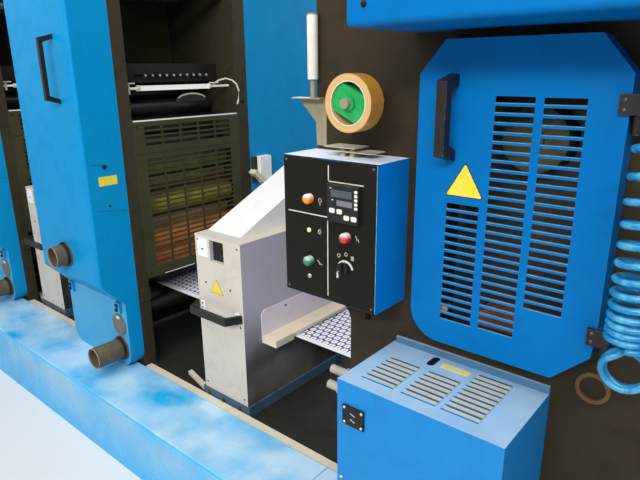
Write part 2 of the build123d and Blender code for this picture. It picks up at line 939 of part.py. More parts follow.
def selector_knob():
    """The round selector knob with a pointer bar."""
    x0, _, y0 = control_box_corners()
    face = y0 - control_panel_thickness - knob_gap
    x, z = x0 + knob_place[0], knob_place[1]
    knob = rod_y(x, z, knob_radius, face - knob_depth / 2, face)
    knob += block(x - 4, x + 4, face - knob_depth, face - knob_depth / 2, z - knob_radius + 2,
                  z + knob_radius - 2)
    return knob - rod_y(x, z, knob_spindle_radius + hinge_running_gap,
                        face - knob_depth / 2, face + 1)


def tape_centre():
    """Where the tape roll's axis stands, in x and z."""
    return x_unit + tape_x, tape_z


def tape_spindle():
    """The spindle that carries the tape roll, with a knob on its nose and a collar behind."""
    x, z = tape_centre()
    back = y_frame - tape_standoff
    boss = back - tape_width + hub_recess - hub_boss_height
    spindle = rod_y(x, z, spindle_radius, boss - spindle_knob_length, y_frame)
    spindle += rod_y(x, z, spindle_knob_radius, boss - spindle_knob_length, boss - seat_gap)
    return spindle + rod_y(x, z, spindle_collar_radius, back - hub_recess + seat_gap,
                           back - hub_recess + spindle_collar_length)


def tape_hub():
    """The green hub that turns on the spindle: a disc less two segments, a boss and a groove."""
    x, z = tape_centre()
    back = y_frame - tape_standoff
    front = back - tape_width + hub_recess
    hub = rod_y(x, z, tape_core_radius - seat_gap, front, back - hub_recess)
    size = 2 * tape_core_radius
    for turn in (hub_turn, hub_turn + 180):
        place = Pos(x, (front + back) / 2, z) * Rot(0, turn, 0)
        hub -= place * Pos(0, 0, hub_chord + size / 2) * Box(size, tape_width + 2, size)
    hub -= Pos(x, front, z) * Rot(0, hub_turn, 0) * Box(hub_groove_length, hub_groove, hub_groove)
    hub += rod_y(x, z, hub_boss_radius, front - hub_boss_height, front + hub_groove)
    return hub - rod_y(x, z, spindle_radius + tape_bore_gap, front - hub_boss_height - 1, back + 1)


def tape_roll():
    """The roll of tape around the hub."""
    x, z = tape_centre()
    back = y_frame - tape_standoff
    roll = rod_y(x, z, tape_radius, back - tape_width, back)
    return roll - rod_y(x, z, tape_core_radius, back - tape_width - 1, back + 1)


def tape_tray():
    """The two thin leaves that lie, one over the other, on the control box."""
    x0, _, y0 = control_box_corners()
    front = y0 + tray_front
    low = control_box_top + tray_foot
    high = low + tray_leaf + tray_gap
    first, second = tray_lengths
    left = x0 + tray_left + tray_step
    tray = block(left, left + second, front, front + tray_depth, low, low + tray_leaf)
    tray += block(x0 + tray_left, x0 + tray_left + first, front, front + tray_depth,
                  high, high + tray_leaf)
    for x in (left + tray_foot, x0 + tray_left + first - 2 * tray_foot):
        tray += block(x, x + tray_foot, front + tray_foot, front + tray_depth - tray_foot,
                      control_box_top, high)
    return tray


def blower_rows():
    """Each louvre of the blower box as its left end and its front edge."""
    x0 = x_unit + blower_left
    y0 = y_frame - blower_reach + blower_slot_start
    rows = []
    for offset, count in zip(blower_group_offsets, blower_group_rows):
        for row in range(count):
            rows.append((x0 + offset - blower_slot_length / 2, y0 + row * blower_slot_pitch))
    return rows


def blower_box():
    """The louvred blower box that stands on the plinth, with an upstand along its back."""
    x0 = x_unit + blower_left
    y0 = y_frame - blower_reach
    x1 = x0 + blower_width
    body = block(x0, x1, y0, y_frame, plinth_height, blower_top)
    body += block(x0 + blower_upstand_thickness, x1, y_frame - blower_upstand_thickness, y_frame,
                  blower_top, blower_top + blower_upstand_height)
    slots = [block(x, x + blower_slot_length, y, y + blower_slot_width,
                   blower_top - blower_slot_depth, blower_top + 1) for x, y in blower_rows()]
    hole_x = x0 + blower_hole_offset
    hole_y = y0 + blower_hole_start
    end = blower_hole_width / 2
    straight = blower_hole_length / 2 - end
    hole = block(hole_x - end, hole_x + end, hole_y - straight, hole_y + straight,
                 blower_top - blower_hole_depth, blower_top + 1)
    for y in (hole_y - straight, hole_y + straight):
        hole += rod_z(hole_x, y, end, blower_top - blower_hole_depth, blower_top + 1)
    return body - slots - hole


def blower_slats():
    """The raised pale slats between the slots of the blower box."""
    return [block(x + blower_slat_end, x + blower_slot_length, y + blower_slot_width + seat_gap,
                  y + blower_slot_pitch - seat_gap, blower_top, blower_top + blower_slat_height)
            for x, y in blower_rows()]


def side_plugs():
    """The white plugs at the left of the blower box."""
    x1 = x_unit + blower_left
    y0 = y_frame - blower_reach
    return [rod_x(y0 + offset, blower_top - drop, plug_radius, x1 - length, x1)
            for offset, drop, length in zip(plug_offsets, plug_drops, plug_lengths)]


def blower_socket():
    """The socket plate on the blower box."""
    x0 = x_unit + blower_left + socket_inset
    y0 = y_frame - blower_reach
    z1 = blower_top - socket_drop
    return block(x0, x0 + socket_width, y0 - 6, y0, z1 - socket_height, z1)


def plate_ring():
    """The brown ring that is fixed to the plate under the door."""
    x = x_unit + ring_inset
    ring = rod_y(x, ring_height, ring_radius, y_frame - ring_section, y_frame)
    return ring - rod_y(x, ring_height, ring_radius - ring_section, y_frame - ring_section - 1,
                        y_frame + 1)


def hose_line():
    """Where the hose's coil hangs, in x and y."""
    return x_unit + hose_x, y_front + hose_setback


def hose_fittings():
    """The screwed fittings: one under the top cover, one on the plate."""
    x, y = hose_line()
    return [rod_z(x, y, hose_fitting_radius, top_cover_bottom - hose_fitting_length,
                  top_cover_bottom),
            rod_y(x_unit + hose_outlet_x, hose_outlet_z, hose_fitting_radius,
                  y_frame - hose_fitting_length, y_frame)]


def hose_feed():
    """The straight stretch of hose from the upper fitting to the coil."""
    x, y = hose_line()
    return rod_z(x, y, hose_radius, hose_coil_top, top_cover_bottom - hose_fitting_length)


def hose_coil():
    """The hanging coil, as one fat tube of its outer diameter."""
    x, y = hose_line()
    return rod_z(x, y, hose_coil_radius, hose_coil_bottom, hose_coil_top)


def hose_loop():
    """The two turns that hang face on under the coil, cut flat where the tail leaves."""
    x, y = hose_line()
    z = hose_coil_bottom - seat_gap - hose_coil_radius
    loop = rod_y(x, z, hose_coil_radius, y - hose_loop_thickness / 2, y + hose_loop_thickness / 2)
    flat = x + hose_coil_radius - hose_loop_flat
    return loop - block(flat, flat + hose_coil_radius, y - hose_coil_radius, y + hose_coil_radius,
                        z - hose_coil_radius, z + hose_coil_radius)


def hose_tail():
    """The tail of the hose, from the loop up to the fitting on the plate."""
    x, y = hose_line()
    z = hose_coil_bottom - seat_gap - hose_coil_radius
    start = x + hose_coil_radius - hose_loop_flat
    end_x = x_unit + hose_outlet_x
    end_y = y_frame - hose_fitting_length
    points = [Vector(start, y, z), Vector(start + hose_tail_run, y, z),
              Vector(start + hose_tail_reach, y + hose_tail_drift, z + hose_tail_lift),
              Vector(end_x + hose_bend_shift, y + hose_bend_setback, hose_outlet_z - hose_bend_drop),
              Vector(end_x, end_y - hose_bend_lead, hose_outlet_z),
              Vector(end_x, end_y, hose_outlet_z)]
    radii = []
    for before, corner, after in zip(points, points[1:], points[2:]):
        turn = (corner - before).get_angle(after - corner)
        shorter = min((corner - before).length, (after - corner).length)
        radii.append(0.45 * shorter / tan(radians(turn / 2)))
    print("hose tail radii", [round(radius) for radius in radii])
    path = FilletPolyline(*points, radius=radii)
    return sweep(Plane(origin=points[0], z_dir=(1, 0, 0)) * Circle(hose_radius), path=path)


def per_tower(make):
    """One piece, or one list of pieces, for each tower."""
    pieces = []
    for left in tower_lefts:
        made = make(left)
        pieces += made if isinstance(made, list) else [made]
    return pieces


def guard_pairs(make):
    """A guard piece for both sides of each tower."""
    pieces = []
    for left in tower_lefts:
        for outer, inward in ((left, 1), (left + tower_width, -1)):
            made = make(outer, inward)
            pieces += made if isinstance(made, list) else [made]
    return pieces


tower_drives = [drive_frame(left, tower_width, tower_height - cover_top_radius)
                for left in tower_lefts]
tower_drive_covers = [drive_cover(left, tower_width, tower_height) for left in tower_lefts]

nodes = {
    "base_plinth": [base_plinth()],
    "bed_frame": [bed_frame()],
    "bed_rails": bed_rails(),
    "tower_covers": per_tower(tower_cover),
    "tower_lower_boxes": per_tower(tower_lower_box),
    "operator_frames": per_tower(operator_frame),
    "drive_frames": tower_drives + [drive_frame(x_unit, end_unit_width, end_unit_height)],
    "drive_covers": tower_drive_covers + [drive_cover(x_unit, end_unit_width, end_unit_height)],
    "closing_sheets": per_tower(tower_top) + end_unit_panels(),
    "side_guards": guard_pairs(side_guard),
    "guard_bars": guard_pairs(guard_bars),
    "print_cylinders": per_tower(cylinders),
    "ink_rollers": per_tower(ink_rollers),
    "ink_fountains": per_tower(ink_fountain),
    "tie_bars": per_tower(tie_bars),
    "lamp_bars": per_tower(lamp_bar),
    "tower_handles": per_tower(lambda left: upright_handle(
        left + tower_width - tower_handle_inset, y_cover, tower_handle_bottom,
        tower_handle_length, handle_bar, handle_standoff)),
    "duct_stubs": per_tower(duct_stubs),
    "port_discs": per_tower(port_disc),
    "cover_latches": per_tower(cover_latches),
    "dryer_cabinets": per_tower(dryer_cabinet),
    "dryer_hoods": per_tower(dryer_hood),
    "dryer_handles": per_tower(dryer_handle),
    "dryer_windows": per_tower(dryer_window),
    "dryer_exit_plates": per_tower(exit_plate),
    "dryer_exit_shelves": per_tower(exit_shelf),
    "dryer_bases": per_tower(dryer_base),
    "foot_brackets": per_tower(foot_bracket),
    "web": [web()],
    "web_rollers": web_rollers(),
    "end_unit_plate": [end_unit_plate()],
    "end_unit_top_cover": [end_unit_top_cover()],
    "inner_baffle": [inner_baffle()],
    "end_unit_drums": [end_unit_drum(dx, z) for dx, z in drum_places],
    "edge_bracket": [edge_bracket()],
    "guard_door": [guard_door()],
    "door_handle": [door_handle()],
    "door_lock": [door_lock()],
    "door_hinges": door_hinges(),
    "hinge_leaves": hinge_leaves(),
    "control_box": [control_box()],
    "control_panel": [control_panel()],
    "temperature_controller": [temperature_controller()],
    "push_buttons": push_buttons(),
    "selector_spindle": [selector_spindle()],
    "selector_knob": [selector_knob()],
    "tape_spindle": [tape_spindle()],
    "tape_hub": [tape_hub()],
    "tape_roll": [tape_roll()],
    "tape_tray": [tape_tray()],
    "blower_box": [blower_box()],
    "blower_slats": blower_slats(),
    "blower_socket": [blower_socket()],
    "side_plugs": side_plugs(),
    "plate_ring": [plate_ring()],
    "hose_fittings": hose_fittings(),
    "hose_feed": [hose_feed()],
    "hose_coil": [hose_coil()],
    "hose_loop": [hose_loop()],
    "hose_tail": [hose_tail()],
}

for name, pieces in nodes.items():
    solids = [solid for piece in pieces for solid in piece.solids()]
    export_step(solids[0] if len(solids) == 1 else Compound(children=solids), f"parts/{name}.step")
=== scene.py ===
from math import cos, pi, radians, sin

import bmesh
import bpy
from mathutils import Matrix, Vector


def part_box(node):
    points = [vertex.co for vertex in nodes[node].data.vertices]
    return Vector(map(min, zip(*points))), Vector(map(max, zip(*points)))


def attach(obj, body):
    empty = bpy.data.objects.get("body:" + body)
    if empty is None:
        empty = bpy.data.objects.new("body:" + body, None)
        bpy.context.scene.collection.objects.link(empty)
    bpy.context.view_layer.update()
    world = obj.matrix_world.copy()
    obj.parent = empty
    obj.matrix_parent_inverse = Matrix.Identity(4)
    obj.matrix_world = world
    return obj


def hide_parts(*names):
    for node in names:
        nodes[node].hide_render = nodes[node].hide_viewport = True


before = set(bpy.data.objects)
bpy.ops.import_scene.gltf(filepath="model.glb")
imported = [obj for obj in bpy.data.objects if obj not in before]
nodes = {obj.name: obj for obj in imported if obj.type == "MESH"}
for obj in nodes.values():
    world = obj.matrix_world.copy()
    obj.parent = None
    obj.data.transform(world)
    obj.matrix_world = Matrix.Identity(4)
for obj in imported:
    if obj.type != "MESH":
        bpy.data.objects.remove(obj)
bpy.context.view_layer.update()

MM = 0.001


# Colour and shader nodes

def linear(hex_colour):
    """An sRGB hex colour as linear RGBA."""
    channels = [int(hex_colour[i:i + 2], 16) / 255 for i in (1, 3, 5)]
    return (*[c / 12.92 if c <= 0.04045 else ((c + 0.055) / 1.055) ** 2.4 for c in channels], 1.0)


def grain(millimetres):
    """The texture scale at which one feature measures this many millimetres."""
    return 1 / (millimetres * MM)


# In a Mix node of colours, input 0 is the share, 6 and 7 are the colours, output 2 the result
def add(tree, kind, inputs=None, **settings):
    """Adds a node with its settings; an input is a value, or a socket to link."""
    node = tree.nodes.new(kind)
    for name, value in settings.items():
        setattr(node, name, value)
    for name, value in (inputs or {}).items():
        if isinstance(value, bpy.types.NodeSocket):
            tree.links.new(value, node.inputs[name])
        else:
            node.inputs[name].default_value = value
    return node


def new_finish(name, **constants):
    """A material with its shader and the object's own coordinates in metres."""
    material = bpy.data.materials.new(name)
    material.use_nodes = True
    tree = material.node_tree
    shader = tree.nodes["Principled BSDF"]
    for socket, value in constants.items():
        shader.inputs[socket.replace("_", " ")].default_value = value
    place = add(tree, "ShaderNodeTexCoord").outputs["Object"]
    return material, tree, shader, place


def coated_steel(name, colour, faded, dirt, roughness, peel=2.2, chips=0.5, soiling=0.35,
                 bare="#6B665C", shine=0.3):
    """Sheet steel under a stoved coat: orange peel, a faded tone, handling dirt, chipped edges."""
    material, tree, shader, place = new_finish(name, Specular_IOR_Level=shine)
    fade_patch = 420
    hand_smear = 95
    chip_size = 9
    sheet_wave = 150
    tone = add(tree, "ShaderNodeTexNoise", {"Vector": place, "Scale": grain(fade_patch),
                                            "Detail": 3.0})
    body = add(tree, "ShaderNodeMix", {0: tone.outputs["Fac"], 6: linear(colour), 7: linear(faded)},
               data_type="RGBA")
    smear = add(tree, "ShaderNodeTexNoise", {"Vector": place, "Scale": grain(hand_smear),
                                             "Detail": 8.0, "Roughness": 0.68,
                                             "Distortion": 0.6})
    soiled = add(tree, "ShaderNodeMapRange", {"Value": smear.outputs["Fac"], "From Min": 0.48,
                                              "From Max": 0.82, "To Max": soiling})
    handled = add(tree, "ShaderNodeMix", {0: soiled.outputs["Result"], 6: body.outputs[2],
                                          7: linear(dirt)}, data_type="RGBA")
    rounded = add(tree, "ShaderNodeBevel", {"Radius": 2.5 * MM}, samples=4)
    flat = add(tree, "ShaderNodeNewGeometry")
    turn = add(tree, "ShaderNodeVectorMath", {0: rounded.outputs[0], 1: flat.outputs["Normal"]},
               operation="DOT_PRODUCT")
    edge = add(tree, "ShaderNodeMapRange", {"Value": turn.outputs["Value"], "From Min": 0.985,
                                            "From Max": 0.86})
    nicks = add(tree, "ShaderNodeTexNoise", {"Vector": place, "Scale": grain(chip_size),
                                             "Detail": 5.0, "Roughness": 0.7})
    nicked = add(tree, "ShaderNodeMapRange", {"Value": nicks.outputs["Fac"], "From Min": 0.50,
                                              "From Max": 0.60, "To Max": chips})
    chipped = add(tree, "ShaderNodeMath", {0: edge.outputs["Result"], 1: nicked.outputs["Result"]},
                  operation="MULTIPLY")
    worn = add(tree, "ShaderNodeMix", {0: chipped.outputs[0], 6: handled.outputs[2],
                                       7: linear(bare)}, data_type="RGBA")
    tree.links.new(worn.outputs[2], shader.inputs["Base Color"])
    gloss = add(tree, "ShaderNodeMapRange", {"Value": smear.outputs["Fac"], "From Min": 0.3,
                                             "From Max": 0.8, "To Min": roughness,
                                             "To Max": min(roughness + 0.25, 0.95)})
    tree.links.new(gloss.outputs["Result"], shader.inputs["Roughness"])
    # Real orange peel is under a millimetre; it is drawn at 2 to 4 mm, so that it shows
    skin = add(tree, "ShaderNodeTexNoise", {"Vector": place, "Scale": grain(peel), "Detail": 2.0})
    waves = add(tree, "ShaderNodeTexNoise", {"Vector": place, "Scale": grain(sheet_wave),
                                             "Detail": 1.0})
    swell = add(tree, "ShaderNodeBump", {"Height": waves.outputs["Fac"], "Strength": 0.35,
                                         "Distance": 0.8 * MM})
    bump = add(tree, "ShaderNodeBump", {"Height": skin.outputs["Fac"], "Strength": 0.25,
                                        "Distance": 0.12 * MM, "Normal": swell.outputs[0]})
    tree.links.new(bump.outputs[0], shader.inputs["Normal"])
    return material


def turned_steel(name, colour, oxide, roughness, stretch=(1, 1, 1), rust=0.25):
    """Machined steel: fine tool lines across its length, a stain here and there."""
    material, tree, shader, place = new_finish(name, Metallic=1.0)
    line_pitch = 1.2
    stain_size = 45
    # Real tool lines are about 0.2 mm apart; they are drawn coarser, so that they show
    lines = add(tree, "ShaderNodeMapping", {"Vector": place, "Scale": stretch})
    cut = add(tree, "ShaderNodeTexNoise", {"Vector": lines.outputs[0], "Scale": grain(line_pitch),
                                           "Detail": 3.0})
    stain = add(tree, "ShaderNodeTexNoise", {"Vector": place, "Scale": grain(stain_size),
                                             "Detail": 7.0, "Roughness": 0.65})
    spots = add(tree, "ShaderNodeMapRange", {"Value": stain.outputs["Fac"], "From Min": 0.52,
                                             "From Max": 0.78, "To Max": rust})
    body = add(tree, "ShaderNodeMix", {0: spots.outputs["Result"], 6: linear(colour),
                                       7: linear(oxide)}, data_type="RGBA")
    tree.links.new(body.outputs[2], shader.inputs["Base Color"])
    gloss = add(tree, "ShaderNodeMapRange", {"Value": stain.outputs["Fac"], "To Min": roughness,
                                             "To Max": min(roughness + 0.3, 1.0)})
    tree.links.new(gloss.outputs["Result"], shader.inputs["Roughness"])
    bump = add(tree, "ShaderNodeBump", {"Height": cut.outputs["Fac"], "Strength": 0.3,
                                        "Distance": 0.05 * MM})
    tree.links.new(bump.outputs[0], shader.inputs["Normal"])
    return material


def moulded_plastic(name, colour, scuff_and_highlight_tone, roughness, depth=0.04, shine=0.4):
    """Moulded plastic: a fine spark-eroded grain and dull scuffs where hands go; on the hose the
    second tone is a painted highlight instead.
    """
    material, tree, shader, place = new_finish(name, Specular_IOR_Level=shine)
    scuff_size = 30
    grain_size = 0.8
    rub = add(tree, "ShaderNodeTexNoise", {"Vector": place, "Scale": grain(scuff_size),
                                           "Detail": 6.0, "Roughness": 0.65})
    scuff_and_highlight_share = add(tree, "ShaderNodeMapRange", {"Value": rub.outputs["Fac"], "From Min": 0.45,
                                            "From Max": 0.8})
    body = add(tree, "ShaderNodeMix", {0: scuff_and_highlight_share.outputs["Result"], 6: linear(colour),
                                       7: linear(scuff_and_highlight_tone)}, data_type="RGBA")
    tree.links.new(body.outputs[2], shader.inputs["Base Color"])
    gloss = add(tree, "ShaderNodeMapRange", {"Value": rub.outputs["Fac"], "To Min": roughness,
                                             "To Max": min(roughness + 0.25, 1.0)})
    tree.links.new(gloss.outputs["Result"], shader.inputs["Roughness"])
    # The real grain is about 0.1 mm; it is drawn coarser, so that it dulls the highlight
    erosion = add(tree, "ShaderNodeTexNoise", {"Vector": place, "Scale": grain(grain_size)})
    bump = add(tree, "ShaderNodeBump", {"Height": erosion.outputs["Fac"], "Strength": 0.3,
                                        "Distance": depth * MM})
    tree.links.new(bump.outputs[0], shader.inputs["Normal"])
    return material


def overlaid(material, colour, toward, low_height, high_height, strength, patch=90, least=0.7):
    """Lays a tone, in patches, on faces that point one way, between two heights in metres."""
    tree = material.node_tree
    shader = tree.nodes["Principled BSDF"]
    place = add(tree, "ShaderNodeTexCoord").outputs["Object"]
    normal = add(tree, "ShaderNodeNewGeometry").outputs["Normal"]
    along = add(tree, "ShaderNodeVectorMath", {0: normal, 1: toward}, operation="DOT_PRODUCT")
    faces = add(tree, "ShaderNodeMapRange", {"Value": along.outputs["Value"], "From Min": 0.75,
                                             "From Max": 0.97})
    height = add(tree, "ShaderNodeSeparateXYZ", {0: place}).outputs["Z"]
    fade = add(tree, "ShaderNodeMapRange", {"Value": height, "From Min": low_height,
                                            "From Max": high_height})
    cloud = add(tree, "ShaderNodeTexNoise", {"Vector": place, "Scale": grain(patch), "Detail": 4.0})
    share = add(tree, "ShaderNodeMapRange", {"Value": cloud.outputs["Fac"], "From Min": 0.3,
                                             "From Max": 0.62, "To Min": strength * least,
                                             "To Max": strength})
    both = add(tree, "ShaderNodeMath", {0: faces.outputs["Result"], 1: fade.outputs["Result"]},
               operation="MULTIPLY")
    factor = add(tree, "ShaderNodeMath", {0: both.outputs[0], 1: share.outputs["Result"]},
                 operation="MULTIPLY")
    under = shader.inputs["Base Color"].links[0].from_socket
    laid = add(tree, "ShaderNodeMix", {0: factor.outputs[0], 6: under, 7: linear(colour)},
               data_type="RGBA")
    tree.links.new(laid.outputs[2], shader.inputs["Base Color"])


def banded_coat(name, stops, roughness, stain, coat=0.0):
    """A coat or an ink film whose colour changes with height, stained here and there."""
    material, tree, shader, place = new_finish(name, Coat_Weight=coat, Coat_Roughness=0.12)
    film_size = 60
    height = add(tree, "ShaderNodeSeparateXYZ", {0: place}).outputs["Z"]
    lowest, highest = stops[0][0], stops[-1][0]
    band = add(tree, "ShaderNodeMapRange", {"Value": height, "From Min": lowest,
                                            "From Max": highest})
    tones = add(tree, "ShaderNodeValToRGB", {0: band.outputs["Result"]})
    while len(tones.color_ramp.elements) < len(stops):
        tones.color_ramp.elements.new(0.5)
    for element, (position, colour) in zip(tones.color_ramp.elements, stops):
        element.position = (position - lowest) / (highest - lowest)
        element.color = linear(colour)
    film = add(tree, "ShaderNodeTexNoise", {"Vector": place, "Scale": grain(film_size),
                                            "Detail": 4.0})
    thick = add(tree, "ShaderNodeMapRange", {"Value": film.outputs["Fac"], "From Min": 0.35,
                                             "From Max": 0.75, "To Max": 0.5})
    body = add(tree, "ShaderNodeMix", {0: thick.outputs["Result"], 6: tones.outputs[0],
                                       7: linear(stain)}, data_type="RGBA")
    tree.links.new(body.outputs[2], shader.inputs["Base Color"])
    gloss = add(tree, "ShaderNodeMapRange", {"Value": film.outputs["Fac"], "To Min": roughness,
                                             "To Max": roughness + 0.33})
    tree.links.new(gloss.outputs["Result"], shader.inputs["Roughness"])
    bump = add(tree, "ShaderNodeBump", {"Height": film.outputs["Fac"], "Strength": 0.2,
                                        "Distance": 0.3 * MM})
    tree.links.new(bump.outputs[0], shader.inputs["Normal"])
    return material


def printed_paper():
    """Coated label paper, printed all over with pale cushions on navy between two bare margins."""
    material, tree, shader, place = new_finish("printed_label_paper", Roughness=0.38,
                                               Specular_IOR_Level=0.5)
    pitch = 30 * MM
    margin = 22 * MM
    row_shift = 0.36
    cushion_edge = (0.182, 0.157)
    stitch_edge = (0.026, 0.016)
    low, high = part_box("web")
    axes = add(tree, "ShaderNodeSeparateXYZ", {0: place})
    across = add(tree, "ShaderNodeMath", {0: axes.outputs["Y"], 1: pitch}, operation="DIVIDE")
    row = add(tree, "ShaderNodeMath", {0: across.outputs[0]}, operation="FLOOR")
    shift = add(tree, "ShaderNodeMath", {0: row.outputs[0], 1: row_shift}, operation="MULTIPLY")
    along = add(tree, "ShaderNodeMath", {0: axes.outputs["X"], 1: pitch}, operation="DIVIDE")
    shifted = add(tree, "ShaderNodeMath", {0: along.outputs[0], 1: shift.outputs[0]},
                  operation="ADD")
    u = add(tree, "ShaderNodeMath", {0: shifted.outputs[0]}, operation="FRACT")
    v = add(tree, "ShaderNodeMath", {0: across.outputs[0]}, operation="FRACT")
    du = add(tree, "ShaderNodeMath", {0: u.outputs[0], 1: 0.5}, operation="SUBTRACT")
    dv = add(tree, "ShaderNodeMath", {0: v.outputs[0], 1: 0.5}, operation="SUBTRACT")
    centred = add(tree, "ShaderNodeCombineXYZ", {"X": du.outputs[0], "Y": dv.outputs[0]})
    squared = add(tree, "ShaderNodeVectorMath", {0: centred.outputs[0], 1: centred.outputs[0]},
                  operation="MULTIPLY")
    reach = add(tree, "ShaderNodeVectorMath", {0: squared.outputs[0]}, operation="LENGTH")
    cushion = add(tree, "ShaderNodeMapRange", {"Value": reach.outputs["Value"],
                                               "From Min": cushion_edge[0],
                                               "From Max": cushion_edge[1]})
    stitch = add(tree, "ShaderNodeMapRange", {"Value": reach.outputs["Value"],
                                              "From Min": stitch_edge[0],
                                              "From Max": stitch_edge[1]})
    pale = add(tree, "ShaderNodeMix", {0: cushion.outputs["Result"], 6: linear("#1B1572"),
                                       7: linear("#FFFFFF")}, data_type="RGBA")
    motif = add(tree, "ShaderNodeMix", {0: stitch.outputs["Result"], 6: pale.outputs[2],
                                        7: linear("#B4AEEC")}, data_type="RGBA")
    near = add(tree, "ShaderNodeMath", {0: axes.outputs["Y"], 1: low.y + margin},
               operation="GREATER_THAN")
    far = add(tree, "ShaderNodeMath", {0: axes.outputs["Y"], 1: high.y - margin},
              operation="LESS_THAN")
    printed = add(tree, "ShaderNodeMath", {0: near.outputs[0], 1: far.outputs[0]},
                  operation="MULTIPLY")
    sheet = add(tree, "ShaderNodeMix", {0: printed.outputs[0], 6: linear("#F6F5F4"),
                                        7: motif.outputs[2]}, data_type="RGBA")
    tree.links.new(sheet.outputs[2], shader.inputs["Base Color"])
    fibre = add(tree, "ShaderNodeTexNoise", {"Vector": place, "Scale": grain(25), "Detail": 3.0})
    bump = add(tree, "ShaderNodeBump", {"Height": fibre.outputs["Fac"], "Strength": 0.2,
                                        "Distance": 0.4 * MM})
    tree.links.new(bump.outputs[0], shader.inputs["Normal"])
    return material


def wound_tape():
    """Brown packing tape on the roll: fine winding rings on the ends, a sheen on the outside."""
    material, tree, shader, place = new_finish("wound_packing_tape", Coat_Weight=0.5,
                                               Coat_Roughness=0.2)
    low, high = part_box("tape_roll")
    middle = (low + high) / 2
    local = add(tree, "ShaderNodeVectorMath", {0: place, 1: tuple(-middle)}, operation="ADD")
    flat = add(tree, "ShaderNodeVectorMath", {0: local.outputs[0], 1: (1, 0, 1)},
               operation="MULTIPLY")
    radius = add(tree, "ShaderNodeVectorMath", {0: flat.outputs[0]}, operation="LENGTH")
    turns = add(tree, "ShaderNodeTexNoise", {"W": radius.outputs["Value"], "Scale": grain(1.6),
                                             "Detail": 2.0}, noise_dimensions="1D")
    outer = (high.z - low.z) / 2
    face = add(tree, "ShaderNodeMix", {0: turns.outputs["Fac"], 6: linear("#B98A4C"),
                                       7: linear("#E2C08A")}, data_type="RGBA")
    on_rim = add(tree, "ShaderNodeMath", {0: radius.outputs["Value"], 1: outer - 0.6 * MM},
                 operation="GREATER_THAN")
    body = add(tree, "ShaderNodeMix", {0: on_rim.outputs[0], 6: face.outputs[2],
                                       7: linear("#C98A35")}, data_type="RGBA")
    tree.links.new(body.outputs[2], shader.inputs["Base Color"])
    shader.inputs["Roughness"].default_value = 0.35
    bump = add(tree, "ShaderNodeBump", {"Height": turns.outputs["Fac"], "Strength": 0.4,
                                        "Distance": 0.2 * MM})
    tree.links.new(bump.outputs[0], shader.inputs["Normal"])
    return material


def lit_diffuser():
    """The opal tube of the lamp, with a faint seam of light along it."""
    material, tree, shader, place = new_finish("opal_lamp_tube", Roughness=0.4,
                                               Emission_Strength=0.35)
    haze = add(tree, "ShaderNodeTexNoise", {"Vector": place, "Scale": grain(40), "Detail": 2.0})
    body = add(tree, "ShaderNodeMix", {0: haze.outputs["Fac"], 6: linear("#E6E6E0"),
                                       7: linear("#CFCFC6")}, data_type="RGBA")
    tree.links.new(body.outputs[2], shader.inputs["Base Color"])
    tree.links.new(body.outputs[2], shader.inputs["Emission Color"])
    return material


def lens(name, colour, glow, clear="#E9E4DA"):
    """A domed lens: tinted acrylic in its own colour, with a painted highlight on its upward faces
    and a glow of the given strength.
    """
    material, tree, shader, place = new_finish(name, Roughness=0.12, Emission_Strength=glow)
    normal = add(tree, "ShaderNodeNewGeometry").outputs["Normal"]
    up = add(tree, "ShaderNodeSeparateXYZ", {0: normal}).outputs["Z"]
    ribs = add(tree, "ShaderNodeTexNoise", {"Vector": place, "Scale": grain(2.5), "Detail": 2.0})
    ribbed = add(tree, "ShaderNodeMath", {0: up, 1: ribs.outputs["Fac"]}, operation="ADD")
    painted_highlight_share = add(tree, "ShaderNodeMapRange", {"Value": ribbed.outputs[0], "From Min": 0.55,
                                           "From Max": 1.25, "To Max": 0.85})
    tint = add(tree, "ShaderNodeMix", {0: painted_highlight_share.outputs["Result"], 6: linear(colour),
                                       7: linear(clear)}, data_type="RGBA")
    tree.links.new(tint.outputs[2], shader.inputs["Base Color"])
    tree.links.new(tint.outputs[2], shader.inputs["Emission Color"])
    return material


def printed_vinyl(name, colour, worn, roughness=0.35):
    """Self-adhesive vinyl: flat colour, rubbed paler in patches, a satin face."""
    material, tree, shader, place = new_finish(name, Specular_IOR_Level=0.35)
    rub = add(tree, "ShaderNodeTexNoise", {"Vector": place, "Scale": grain(18), "Detail": 6.0,
                                           "Roughness": 0.7})
    patches = add(tree, "ShaderNodeMapRange", {"Value": rub.outputs["Fac"], "From Min": 0.5,
                                               "From Max": 0.75})
    body = add(tree, "ShaderNodeMix", {0: patches.outputs["Result"], 6: linear(colour),
                                       7: linear(worn)}, data_type="RGBA")
    tree.links.new(body.outputs[2], shader.inputs["Base Color"])
    shader.inputs["Roughness"].default_value = roughness
    return material


